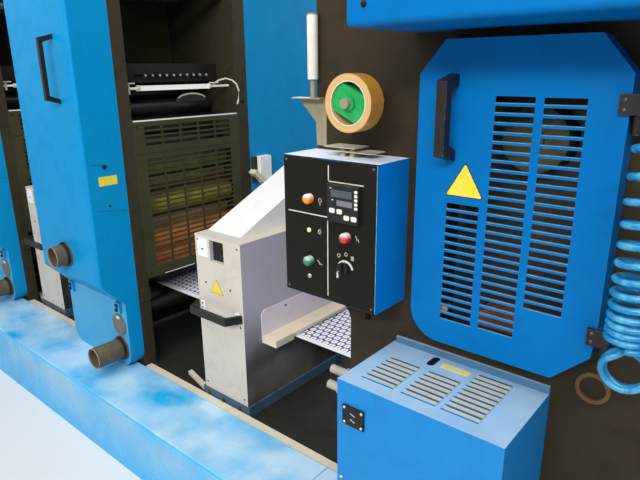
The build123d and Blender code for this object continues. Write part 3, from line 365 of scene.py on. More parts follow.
finishes = {
    # Stoved enamel on the covers: even sky blue, with a dull, slightly rippled highlight
    "tower_enamel": coated_steel("stoved_blue_enamel", "#0089C4", "#0092CC", "#075A86", 0.3,
                                 soiling=0.25, shine=0.14),
    # The same enamel in a deeper blue, on the door and the top cover: hardly any shine
    "door_enamel": coated_steel("stoved_deep_blue_enamel", "#0068AB", "#0070B6", "#063C66", 0.3,
                               soiling=0.25, shine=0.08),
    # Enamel of the control box: a bright even blue, with a near-white painted highlight on its top
    "box_enamel": coated_steel("control_box_blue_enamel", "#0082DA", "#0088E0", "#06508C", 0.3,
                               soiling=0.25, shine=0.14),
    # Gloss enamel of the plinth: a wet look, clouded with painted highlights and reflections
    "plinth_enamel": coated_steel("gloss_sky_blue_enamel", "#0CA0E0", "#34B8EC", "#2F6E8C", 0.2,
                                  soiling=0.4, shine=0.35),
    # Enamel of the blower box: a paler blue, with dust and a painted sheen on top
    "blower_enamel": coated_steel("pale_blue_enamel", "#0F7CC4", "#1C88CE", "#1F5880", 0.3,
                                  shine=0.2),
    # Oiled machine paint on the frames: brown-black and mottled, bright at rubbed edges
    "frame_paint": coated_steel("oiled_black_brown_paint", "#322D20", "#3C3626", "#1A160E", 0.5,
                                peel=4.0, soiling=0.7, bare="#6A6250", shine=0.2),
    # Paint of the end unit's plate: a flat dark brown with oily patches
    "plate_paint": coated_steel("dark_brown_plate_paint", "#2B2416", "#382F1E", "#150F08", 0.5,
                                peel=4.0, soiling=0.7, bare="#6A6250", shine=0.2),
    # Paint of the bed: nearly black, dull with oil and lint
    "bed_paint": coated_steel("dark_machine_grey_paint", "#1E1F18", "#2A2B23", "#0F0E0A", 0.6,
                              peel=4.0, soiling=0.7, shine=0.2),
    # Hammer enamel of the dryers: pale warm grey with a fine dimpled skin
    "dryer_enamel": coated_steel("light_grey_hammer_enamel", "#CBC2B4", "#D6CEC2", "#7E7466", 0.36,
                                 peel=3.0, soiling=0.3, chips=0.25),
    # White stoved enamel: clean, with a soft even sheen; its white also paints highlights on the
    # guard lips and the edge bracket
    "white_enamel_and_highlight": coated_steel("white_enamel_and_painted_highlight", "#EDEBE8", "#F4F2EE", "#B0ACA0", 0.34,
                                soiling=0.2, chips=0.2),
    # Hammer enamel of the exit plates: grey, its lilac tint partly a painted reflection of the
    # violet web beside it
    "side_enamel": coated_steel("lilac_grey_hammer_enamel", "#E4D9E4", "#EEE4EE", "#9A9084", 0.36,
                                peel=3.0, soiling=0.3, chips=0.25),
    # Ivory enamel of the exit shelves: warm and nearly clean
    "shelf_paint": coated_steel("warm_ivory_enamel", "#E6D8BC", "#EEE2CC", "#9C8C6C", 0.36,
                                soiling=0.3),
    # Cream machine paint on rails and straps: yellowed, with rubbed dirt
    "cream_paint": coated_steel("cream_machine_paint", "#D9CFB4", "#E0D8C2", "#8A7C60", 0.4,
                                soiling=0.4),
    # Paint of the edge bracket and the tape spindle: grey-brown, matt and stained
    "greige_paint": coated_steel("grey_brown_bracket_paint", "#8C8268", "#9A9078", "#4A4232", 0.4,
                                 soiling=0.4, shine=0.3),
    # Paint of the tape tray: pale grey-brown and a little chalky
    "tray_paint": coated_steel("pale_grey_brown_tray_paint", "#B4AC98", "#BFB8A6", "#6A604C", 0.4,
                               soiling=0.4, shine=0.3),
    # Paint of the dryer bases: slate blue, dull and stained
    "slate_paint": coated_steel("slate_blue_paint", "#3E566C", "#4D667C", "#22282B", 0.45,
                                soiling=0.5),
    # Paint of the side guards: olive brown, rubbed bright at the edges of its slots
    "guard_paint": coated_steel("olive_brown_guard_paint", "#38351F", "#444026", "#221E10", 0.45,
                                peel=3.0, soiling=0.5, bare="#8A826F", shine=0.2),
    # Paint of the handles and hinges: satin black, worn to grey metal at the edges
    "black_paint": coated_steel("black_handle_paint", "#1C1916", "#26211D", "#3A3630", 0.34,
                                soiling=0.3, bare="#8C8A84", shine=0.3),
    # Paint of the control panel: deep black with almost no shine
    "panel_paint": coated_steel("black_panel_paint", "#15140F", "#1B1913", "#26241C", 0.4,
                                soiling=0.3, shine=0.12),
    # Enamel of the blower's slats: pale grey, so that each slat reads as a light bar
    "slat_enamel": coated_steel("pale_grey_slat_enamel", "#B4BCB8", "#C6CCC6", "#7A8280", 0.4,
                                chips=0.2),
    # Painted shadow along each slat's rear edge, standing in for the shaded gap behind it
    "slat_shadow": coated_steel("painted_slat_gap_shadow", "#3C5058", "#465A62", "#242E30", 0.5,
                                chips=0.1),
    # Coat of the ring on the plate: dull rust brown
    "ring_paint": coated_steel("brown_ring_coat", "#5E4426", "#6C5030", "#2E2010", 0.45,
                               soiling=0.5),
    # Coat of the drums: rust brown on the lower one, olive on the upper one
    "drum_coat": banded_coat("brown_drum_coat", [(0.70, "#C06A32"), (0.95, "#B4622E"),
                                                 (1.15, "#6C6034"), (1.45, "#60582E")],
                             0.35, "#2B170D"),
    # Coat of the baffle: brown, with a paler olive band level with the upper drum that is painted
    # light
    "baffle_coat": banded_coat("brown_baffle_coat", [(0.8, "#4E321C"), (1.34, "#543E24"),
                                                     (1.40, "#968650"), (1.44, "#7C6C3E"),
                                                     (1.50, "#3E3019")], 0.45, "#1E140B"),
    # Turned steel: bright, with fine lines round it
    "steel": turned_steel("turned_bright_steel", "#B9B8B2", "#6C5A44", 0.28, stretch=(1, 8, 1)),
    # Oiled steel: a dull grey-brown with stains
    "dull_steel": turned_steel("oiled_dull_steel", "#6B675E", "#3A3226", 0.45, rust=0.4),
    # Oiled dark steel of rollers and screws: nearly black, with a dim highlight
    "dark_steel": turned_steel("oiled_dark_steel", "#34312B", "#1E1A14", 0.5, stretch=(1, 8, 1),
                               rust=0.4),
    # Zinc plate: pale, faintly yellow and bright
    "zinc": turned_steel("bright_zinc_plate", "#C9C6BC", "#8E8670", 0.32, rust=0.2),
    # Tarnished brass: brown-gold, bright only in places
    "brass": turned_steel("tarnished_brass", "#B98A3C", "#5F4522", 0.35, rust=0.5),
    # Extruded PVC of the duct stubs: grey-brown and satin
    "brown_pvc": moulded_plastic("brown_grey_pvc", "#584E3A", "#706550", 0.42),
    # Moulded PVC of the blank discs: a plain mid grey
    "grey_pvc": moulded_plastic("grey_pvc", "#65645C", "#7C7B72", 0.42),
    # Moulded ABS: black, with a fine grain that dulls it
    "black_plastic": moulded_plastic("black_moulded_abs", "#1A1A19", "#2A2A29", 0.45, shine=0.25),
    # Blue-black matt floor deep in the blower's hole, painted shade of the hole
    "navy_recess_shade": moulded_plastic("navy_painted_recess_shade", "#06082A", "#0C1034", 0.5, shine=0.2),
    # Moulded nylon: warm white with dull scuffs
    "white_plastic": moulded_plastic("white_moulded_nylon", "#DEDACB", "#F0EEE6", 0.4),
    # Old nylon of the plugs: grey-yellow and scuffed
    "aged_plastic": moulded_plastic("aged_grey_nylon", "#9A958A", "#B4AFA4", 0.45),
    # Moulded nylon of the tape hub: bright green with a soft gloss
    "green_plastic": moulded_plastic("green_moulded_nylon", "#159A4C", "#2CB268", 0.3),
    # Polyurethane hose: glossy blue, with pale blue patches that are painted highlights
    "hose_plastic": moulded_plastic("blue_polyurethane_hose", "#107EB2", "#62BCDC", 0.14,
                                    depth=0.01, shine=0.5),
    # Tinted acrylic button: amber, with a painted highlight on top and a faint painted glow
    "amber_lens": lens("amber_lamp_lens", "#D98A20", 0.12),
    # Tinted acrylic button: red, with a painted highlight on top and a faint painted glow
    "red_lens": lens("red_lamp_lens", "#C42A3C", 0.12),
    # Tinted acrylic button: bottle green, with a painted highlight on top and a faint painted glow
    "green_lens": lens("green_lamp_lens", "#2C7A5C", 0.08, clear="#B9CFC0"),
    # Unlit lamp lens: a small grey bead, with a painted highlight on top and a faint painted glow
    "white_lens": lens("white_lamp_lens", "#8C8C88", 0.15),
    # Lit lamp lens: a small pale yellow glow, with a painted highlight on top
    "yellow_lens": lens("yellow_lamp_lens", "#C8C860", 0.6, clear="#F6F6D8"),
    # Label vinyl: flat bright yellow, rubbed paler in patches
    "yellow_vinyl": printed_vinyl("yellow_label_vinyl", "#E8D63A", "#F0E478"),
    # Label vinyl faded by warm air: straw yellow
    "pale_yellow_vinyl": printed_vinyl("faded_yellow_label_vinyl", "#E6DC8C", "#EFE9B8"),
    # Painted highlight under the lamps: a pale olive, matt crescent
    "olive_highlight": printed_vinyl("pale_olive_painted_highlight", "#A8A67C", "#C2C09A", roughness=0.5),
    # Black vinyl of label borders, and the dark of thin seams
    "black_vinyl": printed_vinyl("black_label_vinyl", "#171614", "#2B2A27"),
    # Screen ink: off-white lines on the black panel
    "white_paint": printed_vinyl("white_screen_ink", "#D2CEC2", "#B4AFA2"),
    # Worn screen ink: grey, rubbed toward brown
    "worn_ink": printed_vinyl("worn_grey_screen_ink", "#A59E8C", "#6E685A"),
    # Painted highlight: a pale blue line on lit edges of the door's louvres and the control box
    "edge_highlight_blue": printed_vinyl("pale_blue_painted_edge_highlight", "#4C92B4", "#86B8CC"),
    # Display pane, unlit: smooth slate grey
    "slate_pane": printed_vinyl("dark_slate_display_pane", "#4A5357", "#5A6468", roughness=0.2),
    # Display pane, unlit: smooth lilac grey
    "lilac_pane": printed_vinyl("lilac_grey_display_pane", "#77707F", "#8A8392", roughness=0.2),
    # Rubber rollers under ink: orange below, olive and green above, black at the top
    "inked_rubber": banded_coat("inked_roller_rubber",
                                [(0.45, "#0A0806"), (0.61, "#1E1008"), (0.66, "#FF9A44"),
                                 (0.80, "#FFA04E"), (0.84, "#B8966E"), (0.875, "#A89070"),
                                 (0.90, "#3E3018"), (0.925, "#BCB444"), (0.965, "#B4AC40"),
                                 (0.99, "#5E4E2A"), (1.03, "#7A6C38"), (1.07, "#76843A"),
                                 (1.10, "#84943C"), (1.14, "#3E321C"), (1.19, "#15150E"),
                                 (1.65, "#0D0D0A")],
                                0.22, "#2E1C10", coat=0.2),
    # Coated label paper: smooth and white, with a navy print
    "printed_paper": printed_paper(),
    # Packing tape: amber winding lines on its ends, a sheen on its rim
    "wound_tape": wound_tape(),
    # Opal tube of the lamps: white and faintly lit
    "lamp": lit_diffuser(),
}

# Painted highlights on the box's and the blower's tops, painted shade on the blower's rear edge,
# and the dark lip round the control panel
overlaid(finishes["box_enamel"], "#FBFDFF", (0, 0, 1), 0.0, 0.1, 0.97, patch=140)
overlaid(finishes["blower_enamel"], "#C0DAE6", (0, 0, 1), 0.0, 0.1, 0.72, patch=140)
# Painted shade on the front faces of the blower's rear upstand
overlaid(finishes["blower_enamel"], "#5A7684", (0, -1, 0), 0.7868, 0.7872, 0.85, patch=140)
overlaid(finishes["box_enamel"], "#1A1A18", (0, -1, 0), 0.0, 0.1, 0.95, patch=140)

# Painted highlights and reflections in pale clouds on the plinth's top and front, and paler lower
# boxes on the towers
overlaid(finishes["plinth_enamel"], "#E0F3FA", (0, 0, 1), 0.0, 0.1, 0.66, patch=230, least=0.0)
overlaid(finishes["plinth_enamel"], "#B8CCDA", (0, -1, 0), 0.0, 0.2, 0.5, patch=280, least=0.05)
overlaid(finishes["tower_enamel"], "#7CC4E0", (0, -1, 0), 0.66, 0.60, 0.4, patch=300)

# A painted lilac reflection on the dryers' right sides, and painted shade that darkens them below
overlaid(finishes["dryer_enamel"], "#B6AEC4", (1, 0, 0), 0.30, 0.50, 0.8, patch=300)
overlaid(finishes["dryer_enamel"], "#22261A", (1, 0, 0), 0.66, 0.44, 0.97, patch=300)

node_finishes = {
    "tower_enamel": ["tower_covers", "tower_lower_boxes", "drive_covers", "cover_latches"],
    "door_enamel": ["guard_door", "end_unit_top_cover"],
    "box_enamel": ["control_box"],
    "blower_enamel": ["blower_box"],
    "plinth_enamel": ["base_plinth"],
    "frame_paint": ["operator_frames", "drive_frames", "closing_sheets"],
    "plate_paint": ["end_unit_plate"],
    "bed_paint": ["bed_frame"],
    "dryer_enamel": ["dryer_cabinets"],
    "white_enamel_and_highlight": ["dryer_hoods"],
    "side_enamel": ["dryer_exit_plates"],
    "shelf_paint": ["dryer_exit_shelves"],
    "cream_paint": ["bed_rails", "foot_brackets"],
    "greige_paint": ["edge_bracket", "tape_spindle"],
    "tray_paint": ["tape_tray"],
    "slate_paint": ["dryer_bases"],
    "guard_paint": ["side_guards", "guard_bars"],
    "black_paint": ["tower_handles", "dryer_handles", "door_handle", "door_hinges",
                    "hinge_leaves", "ink_fountains"],
    "panel_paint": ["control_panel"],
    "slat_enamel": ["blower_slats"],
    "drum_coat": ["end_unit_drums"],
    "baffle_coat": ["inner_baffle"],
    "steel": ["selector_spindle"],
    "dark_steel": ["web_rollers"],
    "dull_steel": ["tie_bars"],
    "brass": ["door_lock", "hose_fittings"],
    "ring_paint": ["plate_ring"],
    "brown_pvc": ["duct_stubs"],
    "grey_pvc": ["port_discs"],
    "black_plastic": ["temperature_controller", "selector_knob", "blower_socket",
                      "dryer_windows", "push_buttons"],
    "aged_plastic": ["side_plugs"],
    "green_plastic": ["tape_hub"],
    "hose_plastic": ["hose_feed", "hose_coil", "hose_loop", "hose_tail"],
    "inked_rubber": ["ink_rollers", "print_cylinders"],
    "printed_paper": ["web"],
    "wound_tape": ["tape_roll"],
    "lamp": ["lamp_bars"],
}
for finish, names in node_finishes.items():
    for name in names:
        nodes[name].data.materials.clear()
        nodes[name].data.materials.append(finishes[finish])


# Making small pieces: outlines and profiles in millimetres on a face of the press

def facing(u, v, w):
    """A turn whose columns are a face's right, up and outward directions."""
    return Matrix((u, v, w)).transposed().to_4x4()


FRONT = facing((1, 0, 0), (0, 0, 1), (0, -1, 0))
BACK = facing((-1, 0, 0), (0, 0, 1), (0, 1, 0))
RIGHT = facing((0, 1, 0), (0, 0, 1), (1, 0, 0))
LEFT = facing((0, -1, 0), (0, 0, 1), (-1, 0, 0))
TOP = facing((1, 0, 0), (0, 1, 0), (0, 0, 1))


def at(face, x, y, z, turn=0):
    """A place on the press, in millimetres, that faces one way and may be turned on itself."""
    move = Matrix.Translation(Vector((x, y, z)) * MM)
    return move @ face @ Matrix.Rotation(radians(turn), 4, "Z")


def node_box(name):
    """A node's lowest and highest corners in millimetres."""
    low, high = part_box(name)
    return low / MM, high / MM


def rectangle(width, height, corner=0):
    """A rectangle's outline about its middle, with round corners."""
    steps = 3
    if corner <= 0:
        return [(-width / 2, -height / 2), (width / 2, -height / 2),
                (width / 2, height / 2), (-width / 2, height / 2)]
    outline = []
    for quarter, (sx, sy) in enumerate(((1, 1), (-1, 1), (-1, -1), (1, -1))):
        for step in range(steps + 1):
            angle = pi / 2 * (quarter + step / steps)
            outline.append((sx * (width / 2 - corner) + corner * cos(angle),
                            sy * (height / 2 - corner) + corner * sin(angle)))
    return outline


def triangle(base, height, corner):
    """An upright triangle's outline about its middle, with round corners."""
    tips = [(-base / 2, -height / 3), (base / 2, -height / 3), (0, height * 2 / 3)]
    outline = []
    for start, (x, y) in zip((210, 330, 90), tips):
        length = (x * x + y * y) ** 0.5
        inner = (x * (1 - 2 * corner / length), y * (1 - 2 * corner / length))
        for step in range(5):
            angle = radians(start - 60 + 30 * step)
            outline.append((inner[0] + corner * cos(angle), inner[1] + corner * sin(angle)))
    return outline


def plate(bm, place, outline, depth, edge=0.0):
    """A flat piece: its outline raised from its place by its depth, the front edge eased."""
    reach = max((u * u + v * v) ** 0.5 for u, v in outline)
    shrink = 1 - edge / reach
    layers = [(0.0, 1.0), (depth - edge, 1.0), (depth, shrink)]
    if edge <= 0:
        layers = [(0.0, 1.0), (depth, 1.0)]
    rings = [[bm.verts.new(place @ (Vector((u * scale, v * scale, w)) * MM)) for u, v in outline]
             for w, scale in layers]
    bm.faces.new(rings[0][::-1])
    for lower, upper in zip(rings, rings[1:]):
        for i in range(len(outline)):
            j = (i + 1) % len(outline)
            bm.faces.new((lower[i], lower[j], upper[j], upper[i]))
    bm.faces.new(rings[-1])


def turned(bm, place, profile, sides=20, hollow=False):
    """(radius, height) points spun round the place's outward axis: a capped body, or a ring."""
    rings = []
    for radius, height in profile:
        rings.append([bm.verts.new(place @ (Vector((max(radius, 0.01) * cos(2 * pi * i / sides),
                                                    max(radius, 0.01) * sin(2 * pi * i / sides),
                                                    height)) * MM)) for i in range(sides)])
    bands = list(zip(rings, rings[1:]))
    if hollow:
        bands.append((rings[-1], rings[0]))
    else:
        bm.faces.new(rings[0][::-1])
        bm.faces.new(rings[-1])
    for lower, upper in bands:
        for i in range(sides):
            j = (i + 1) % sides
            bm.faces.new((lower[i], lower[j], upper[j], upper[i]))


def arc_band(bm, place, radius, width, start, end, depth, steps=10):
    """A flat band bent round a centre, from one angle to another."""
    angles = [radians(start + (end - start) * step / steps) for step in range(steps + 1)]
    outline = [((radius + width) * cos(a), (radius + width) * sin(a)) for a in angles]
    outline += [(radius * cos(a), radius * sin(a)) for a in reversed(angles)]
    rings = [[bm.verts.new(place @ (Vector((u, v, w)) * MM)) for u, v in outline]
             for w in (0, depth)]
    last = len(outline) - 1
    for i in range(len(outline)):
        j = (i + 1) % len(outline)
        bm.faces.new((rings[0][i], rings[0][j], rings[1][j], rings[1][i]))
    for i in range(steps):
        for ring in rings:
            bm.faces.new((ring[i], ring[i + 1], ring[last - i - 1], ring[last - i]))


def tube(bm, points, radius):
    """A bent round rod through points in millimetres."""
    sides = 10
    rings = []
    for i, point in enumerate(points):
        before = Vector(points[max(i - 1, 0)])
        after = Vector(points[min(i + 1, len(points) - 1)])
        along = (after - before).to_track_quat("Z", "Y")
        ring = []
        for side in range(sides):
            angle = 2 * pi * side / sides
            spoke = Vector((radius * cos(angle), radius * sin(angle), 0))
            ring.append(bm.verts.new((Vector(point) + along @ spoke) * MM))
        rings.append(ring)
    for lower, upper in zip(rings, rings[1:]):
        for i in range(sides):
            j = (i + 1) % sides
            bm.faces.new((lower[i], lower[j], upper[j], upper[i]))
    bm.faces.new(rings[0][::-1])
    bm.faces.new(rings[-1])


def socket_screw(bm, place, radius):
    """A cap screw with a hexagon socket."""
    turned(bm, place, [(radius, 0), (radius, radius * 0.7), (radius * 0.88, radius * 0.9),
                       (radius * 0.52, radius * 0.9), (radius * 0.5, radius * 0.35),
                       (0, radius * 0.35)], sides=18)


def domed_screw(bm, place, radius):
    """A low domed screw with a shallow driver recess."""
    turned(bm, place, [(radius, 0), (radius * 0.94, radius * 0.22), (radius * 0.7, radius * 0.42),
                       (radius * 0.3, radius * 0.5), (radius * 0.24, radius * 0.3),
                       (0, radius * 0.28)], sides=16)


def hexagon_nut(bm, place, radius):
    """A hexagon nut on a washer, with the end of its stud."""
    turned(bm, place, [(radius * 1.3, 0), (radius * 1.3, radius * 0.2), (radius, radius * 0.2)],
           sides=20)
    turned(bm, place, [(radius, radius * 0.2), (radius, radius), (radius * 0.9, radius * 1.1),
                       (radius * 0.5, radius * 1.1)], sides=6)
    turned(bm, place, [(radius * 0.5, radius), (radius * 0.5, radius * 1.4),
                       (radius * 0.4, radius * 1.5), (0, radius * 1.5)], sides=12)


def piece(name, bm, finish, body="press", smooth=False):
    """Turns a finished shape into a piece that rides on a body."""
    bmesh.ops.recalc_face_normals(bm, faces=bm.faces[:])
    mesh = bpy.data.meshes.new(name)
    bm.to_mesh(mesh)
    bm.free()
    mesh.materials.append(finishes[finish])
    if smooth:
        mesh.shade_smooth()
        mesh.set_sharp_from_angle(angle=radians(35))
    made = bpy.data.objects.new(name, mesh)
    bpy.context.scene.collection.objects.link(made)
    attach(made, body)


# Stations along the press, in millimetres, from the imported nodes

print_bays = 3
tower_width = 486
covers_low, covers_high = node_box("tower_covers")
bay_pitch = (covers_high.x - covers_low.x - tower_width) / (print_bays - 1)
tower_lefts = [covers_low.x + bay * bay_pitch for bay in range(print_bays)]
tower_rights = [left + tower_width for left in tower_lefts]
y_cover = covers_low.y
y_lower_box = node_box("tower_lower_boxes")[0].y
y_frame = node_box("operator_frames")[0].y
y_drive = node_box("drive_frames")[0].y
y_drive_back = node_box("drive_frames")[1].y
y_back = node_box("drive_covers")[1].y
x_unit = node_box("end_unit_plate")[0].x
x_end = node_box("end_unit_plate")[1].x
bed_top = node_box("bed_frame")[1].z
dryer_width = 250


# Towers: labels, screws, duct trims and the works over the guard

def tower_labels():
    """The blank yellow label on the right side of each cover."""
    bm = bmesh.new()
    label_place = (-564, 1092)
    for right in tower_rights:
        plate(bm, at(RIGHT, right, *label_place), rectangle(78, 36, 3), 0.6)
    piece("tower_labels", bm, "yellow_vinyl")


def tower_screws():
    """Screws on the covers, along the frames and round the drive side housings."""
    bm = bmesh.new()
    cover_screw = (-574, 1148)
    small_screw = (-568, 992)
    frame_middle = (y_drive + y_drive_back) / 2
    edge = 60
    for left, right in zip(tower_lefts, tower_rights):
        for face, x in ((RIGHT, right), (LEFT, left)):
            socket_screw(bm, at(face, x, *cover_screw), 8)
            domed_screw(bm, at(face, x, *small_screw), 5)
            for z in (640, 1360):
                socket_screw(bm, at(face, x, frame_middle, z), 6)
        for z in (330, 1000, 1650):
            for x in (left + 40, right - 40):
                domed_screw(bm, at(BACK, x, y_back, z), 8)
            for face, x in ((RIGHT, right), (LEFT, left)):
                domed_screw(bm, at(face, x, y_back - edge, z), 8)
    for z in (330, 950, 1500):
        for x in (x_unit + edge, x_unit + 540, x_end - edge):
            domed_screw(bm, at(BACK, x, y_back, z), 8)
        for y in (y_drive_back + 45, y_back - edge):
            domed_screw(bm, at(RIGHT, x_end, y, z), 8)
            domed_screw(bm, at(LEFT, x_unit, y, z), 8)
    piece("housing_screws", bm, "dark_steel", smooth=True)


def cover_seams():
    """The thin dark seams where the covers part: sides, back panels and the plinth's joint."""
    bm = bmesh.new()
    upper_seam = (-597, 1156)
    lower_seam = (-561, 970)
    side_joint = 690
    rim = 23
    for left, right in zip(tower_lefts, tower_rights):
        plate(bm, at(RIGHT, right, *upper_seam, turn=-6), rectangle(70, 1.2), 0.3)
        plate(bm, at(RIGHT, right, *lower_seam, turn=-8), rectangle(126, 1.2), 0.3)
        for z in (side_joint, 1500):
            plate(bm, at(BACK, (left + right) / 2, y_back, z),
                  rectangle(tower_width - 2 * rim, 3), 0.6)
        for face, x in ((RIGHT, right), (LEFT, left)):
            plate(bm, at(face, x, (y_drive_back + y_back) / 2, side_joint),
                  rectangle(y_back - y_drive_back - 44, 2.4), 0.5)
    front, top = node_box("base_plinth")
    for x in (tower_lefts[1] - 120, x_unit + 40):
        plate(bm, at(FRONT, x, front.y, (top.z - 12) / 2), rectangle(2, top.z - 16), 0.4)
        plate(bm, at(TOP, x, (front.y + top.y) / 2 + 6, top.z),
              rectangle(2, top.y - front.y - 14), 0.4)
    middle = (x_unit + x_end) / 2
    for z in (700, 1300):
        plate(bm, at(BACK, middle, y_back, z), rectangle(x_end - x_unit - 2 * rim, 3), 0.6)
    plate(bm, at(BACK, middle, y_back, 1000), rectangle(3, 1480), 0.6)
    piece("cover_seams", bm, "black_vinyl")


def duct_trims():
    """Each duct stub's clamp ring and pale mouth rim, and the white tab on the blank disc."""
    clamps = bmesh.new()
    rims = bmesh.new()
    tabs = bmesh.new()
    bore = 45.2
    clamp_radius = 49
    clamp_width = 13
    clamp_seat = 6
    screw_circle = 49.5
    tab_inset, tab_seat, tab_z = 64, 5, 489
    # Each stub's inset from the tower's right side, its height, the face behind it and its length
    stubs = ((246, 763, y_cover, 62), (64, 345, y_lower_box, 135))
    for right in tower_rights:
        for inset, z, face_y, length in stubs:
            x = right - inset
            y = face_y - clamp_seat
            turned(clamps, at(FRONT, x, y, z), [(bore, 0), (clamp_radius, 0),
                                                (clamp_radius, clamp_width), (bore, clamp_width)],
                   32, hollow=True)
            plate(clamps, at(FRONT, x, y, z + clamp_radius + 1), rectangle(16, 10, 1),
                  clamp_width, 0.6)
            turned(rims, at(FRONT, x, face_y - length, z),
                   [(41.6, -4), (41.8, 0), (43.4, 1.0), (45.3, 0), (45.3, -2)], 32, hollow=True)
            for turn in (45, 135, 225, 315):
                across = screw_circle * cos(radians(turn))
                up = screw_circle * sin(radians(turn))
                domed_screw(clamps, at(FRONT, x + across, y, z + up), 3.2)
        plate(tabs, at(FRONT, right - tab_inset, y_lower_box - tab_seat, tab_z),
              rectangle(26, 13, 5), 2, 0.5)
    piece("duct_clamps", clamps, "black_paint", smooth=True)
    piece("duct_rims", rims, "greige_paint", smooth=True)
    piece("port_disc_tabs", tabs, "white_plastic")


def latch_details():
    """The catch hook and knurled thumb screw on each cover latch."""
    bm = bmesh.new()
    low, high = node_box("cover_latches")
    latch_insets = (40, 440)
    for left in tower_lefts:
        for inset in latch_insets:
            x = left + inset
            plate(bm, at(FRONT, x, low.y, high.z - 12), rectangle(20, 14, 2), 5, 1)
            turned(bm, at(FRONT, x, low.y, low.z + 14), [(8, 0), (8, 7), (6.5, 9), (0, 9)], 14)
    piece("latch_catches", bm, "dark_steel", smooth=True)


def guard_trims():
    """Painted highlights along the lips of each side guard, its level seam and its corner screws.
    """
    lip_highlights = bmesh.new()
    seams = bmesh.new()
    screws = bmesh.new()
    low, high = node_box("side_guards")
    guard_top = 1310
    seam_height = 1176
    lower_lip_y = -265
    corner = 20
    depth = high.y - low.y
    middle = (low.y + high.y) / 2
    for left, right in zip(tower_lefts, tower_rights):
        plate(lip_highlights, at(TOP, right - 8, middle, guard_top), rectangle(16, depth - 10, 2), 0.8, 0.3)
        plate(lip_highlights, at(RIGHT, right, middle, guard_top - 2), rectangle(depth - 10, 3.5), 0.5)
        plate(lip_highlights, at(RIGHT, right, lower_lip_y, low.z + 1.6), rectangle(160, 3), 0.6)
        plate(seams, at(RIGHT, right, middle, seam_height), rectangle(depth - 4, 2.4), 0.3)
        for y in (low.y + corner, high.y - corner):
            for z in (low.z + corner, guard_top - 24):
                domed_screw(screws, at(RIGHT, right, y, z), 5)
            for z in (low.z + corner, 975, 1400, 1850):
                domed_screw(screws, at(LEFT, left, y, z), 6)
    piece("guard_lip_painted_highlights", lip_highlights, "white_enamel_and_highlight")
    piece("guard_seams", seams, "black_vinyl")
    piece("guard_screws", screws, "dark_steel", smooth=True)


def fountain_keys():
    """The long ink keys with their bright caps, and what holds each lamp at its two ends."""
    stems = bmesh.new()
    caps = bmesh.new()
    holders = bmesh.new()
    low, high = node_box("ink_fountains")
    middle = (low.y + high.y) / 2
    key_count = 10
    key_pitch = 35
    key_height = 1484
    lamp_inset = 56
    lamp_height = 1434
    for right in tower_rights:
        for key in range(key_count):
            y = middle + (key - (key_count - 1) / 2) * key_pitch
            turned(stems, at(RIGHT, right - 114, y, key_height), [(4, -6), (4, 48)], 10)
            turned(caps, at(RIGHT, right - 66, y, key_height),
                   [(5.4, 0), (5.4, 6), (4.4, 8), (0, 8)], 12)
        x = right - lamp_inset
        plate(holders, at(TOP, x + 4, -398, 1452), rectangle(24, 44, 3), 5, 1)
        plate(holders, at(RIGHT, x + 8, -405, 1432), rectangle(12, 42, 2), 4, 0.8)
        plate(holders, at(TOP, x + 4, 38, 1446), rectangle(24, 40, 3), 5, 1)
        bent_arm = [(x, 36, 1441), (x + 8, 62, 1458), (x + 22, 92, 1466), (x + 44, 112, 1458),
                    (x + 60, 124, 1441), (x + 62, 134, 1409), (x + 61, 130, 1372),
                    (x + 60, 124, 1351)]
        tube(holders, bent_arm, 4)
        for y in (-350.5, 16.5):
            turned(holders, at(FRONT, x, y, lamp_height),
                   [(11.2, 0), (12.5, 2), (12.5, 10), (11.2, 12)], 20)
    piece("ink_key_stems", stems, "dark_steel", smooth=True)
    piece("ink_key_caps", caps, "zinc", smooth=True)
    piece("lamp_holders", holders, "cream_paint", smooth=True)


def arch(half_width, rise, first, last, step):
    """Points along a flat arch about its middle, from one angle up to another."""
    return [(half_width * cos(radians(angle)), rise * sin(radians(angle)))
            for angle in range(first, last, step)]


def splash_tabs():
    """The round-topped black tab under each lamp, with a pale painted highlight along its edge."""
    tabs = bmesh.new()
    edges = bmesh.new()
    half_width = 81
    rise = 32
    tab_y, tab_z = -88, 1377
    outline = arch(half_width, rise, 0, 181, 12) + [(-half_width, -4), (half_width, -4)]
    crescent = arch(half_width, rise, 20, 161, 14)
    inner = [(u * 0.93, v * 0.76) for u, v in crescent]
    for right in tower_rights:
        plate(tabs, at(RIGHT, right - 60, tab_y, tab_z), outline, 3, 0.8)
        for a, b, c, d in zip(crescent, crescent[1:], inner, inner[1:]):
            plate(edges, at(RIGHT, right - 57, tab_y, tab_z), [a, b, d, c], 0.8)
    piece("splash_tabs", tabs, "black_paint")
    piece("splash_tab_painted_highlights", edges, "olive_highlight")


def side_brackets():
    """The white box on the drive side housing with its dark plate and cream strap."""
    boxes = bmesh.new()
    plates = bmesh.new()
    straps = bmesh.new()
    box_y, box_z = 267, 1032
    box_height = 126
    for right in tower_rights:
        plate(boxes, at(RIGHT, right, box_y, box_z), rectangle(76, box_height, 5), 34, 3)
        plate(plates, at(RIGHT, right, box_y - 54, box_z), rectangle(30, box_height, 2), 12, 1)
        plate(straps, at(RIGHT, right, box_y - 37, box_z - 42, turn=-40), rectangle(116, 24, 2),
              40, 1)
    piece("side_boxes", boxes, "white_enamel_and_highlight")
    piece("side_box_plates", plates, "frame_paint")
    piece("side_straps", straps, "cream_paint")


def corner_brackets():
    """The small dark bracket low on the right edge of each operator side frame."""
    bm = bmesh.new()
    bracket_y, bracket_z = -456, 580
    depth = 10
    for right in tower_rights:
        plate(bm, at(RIGHT, right, bracket_y, bracket_z), rectangle(44, 56, 4), depth, 2)
        socket_screw(bm, at(RIGHT, right + depth, bracket_y - 2, bracket_z + 12), 6)
    piece("corner_brackets", bm, "frame_paint")


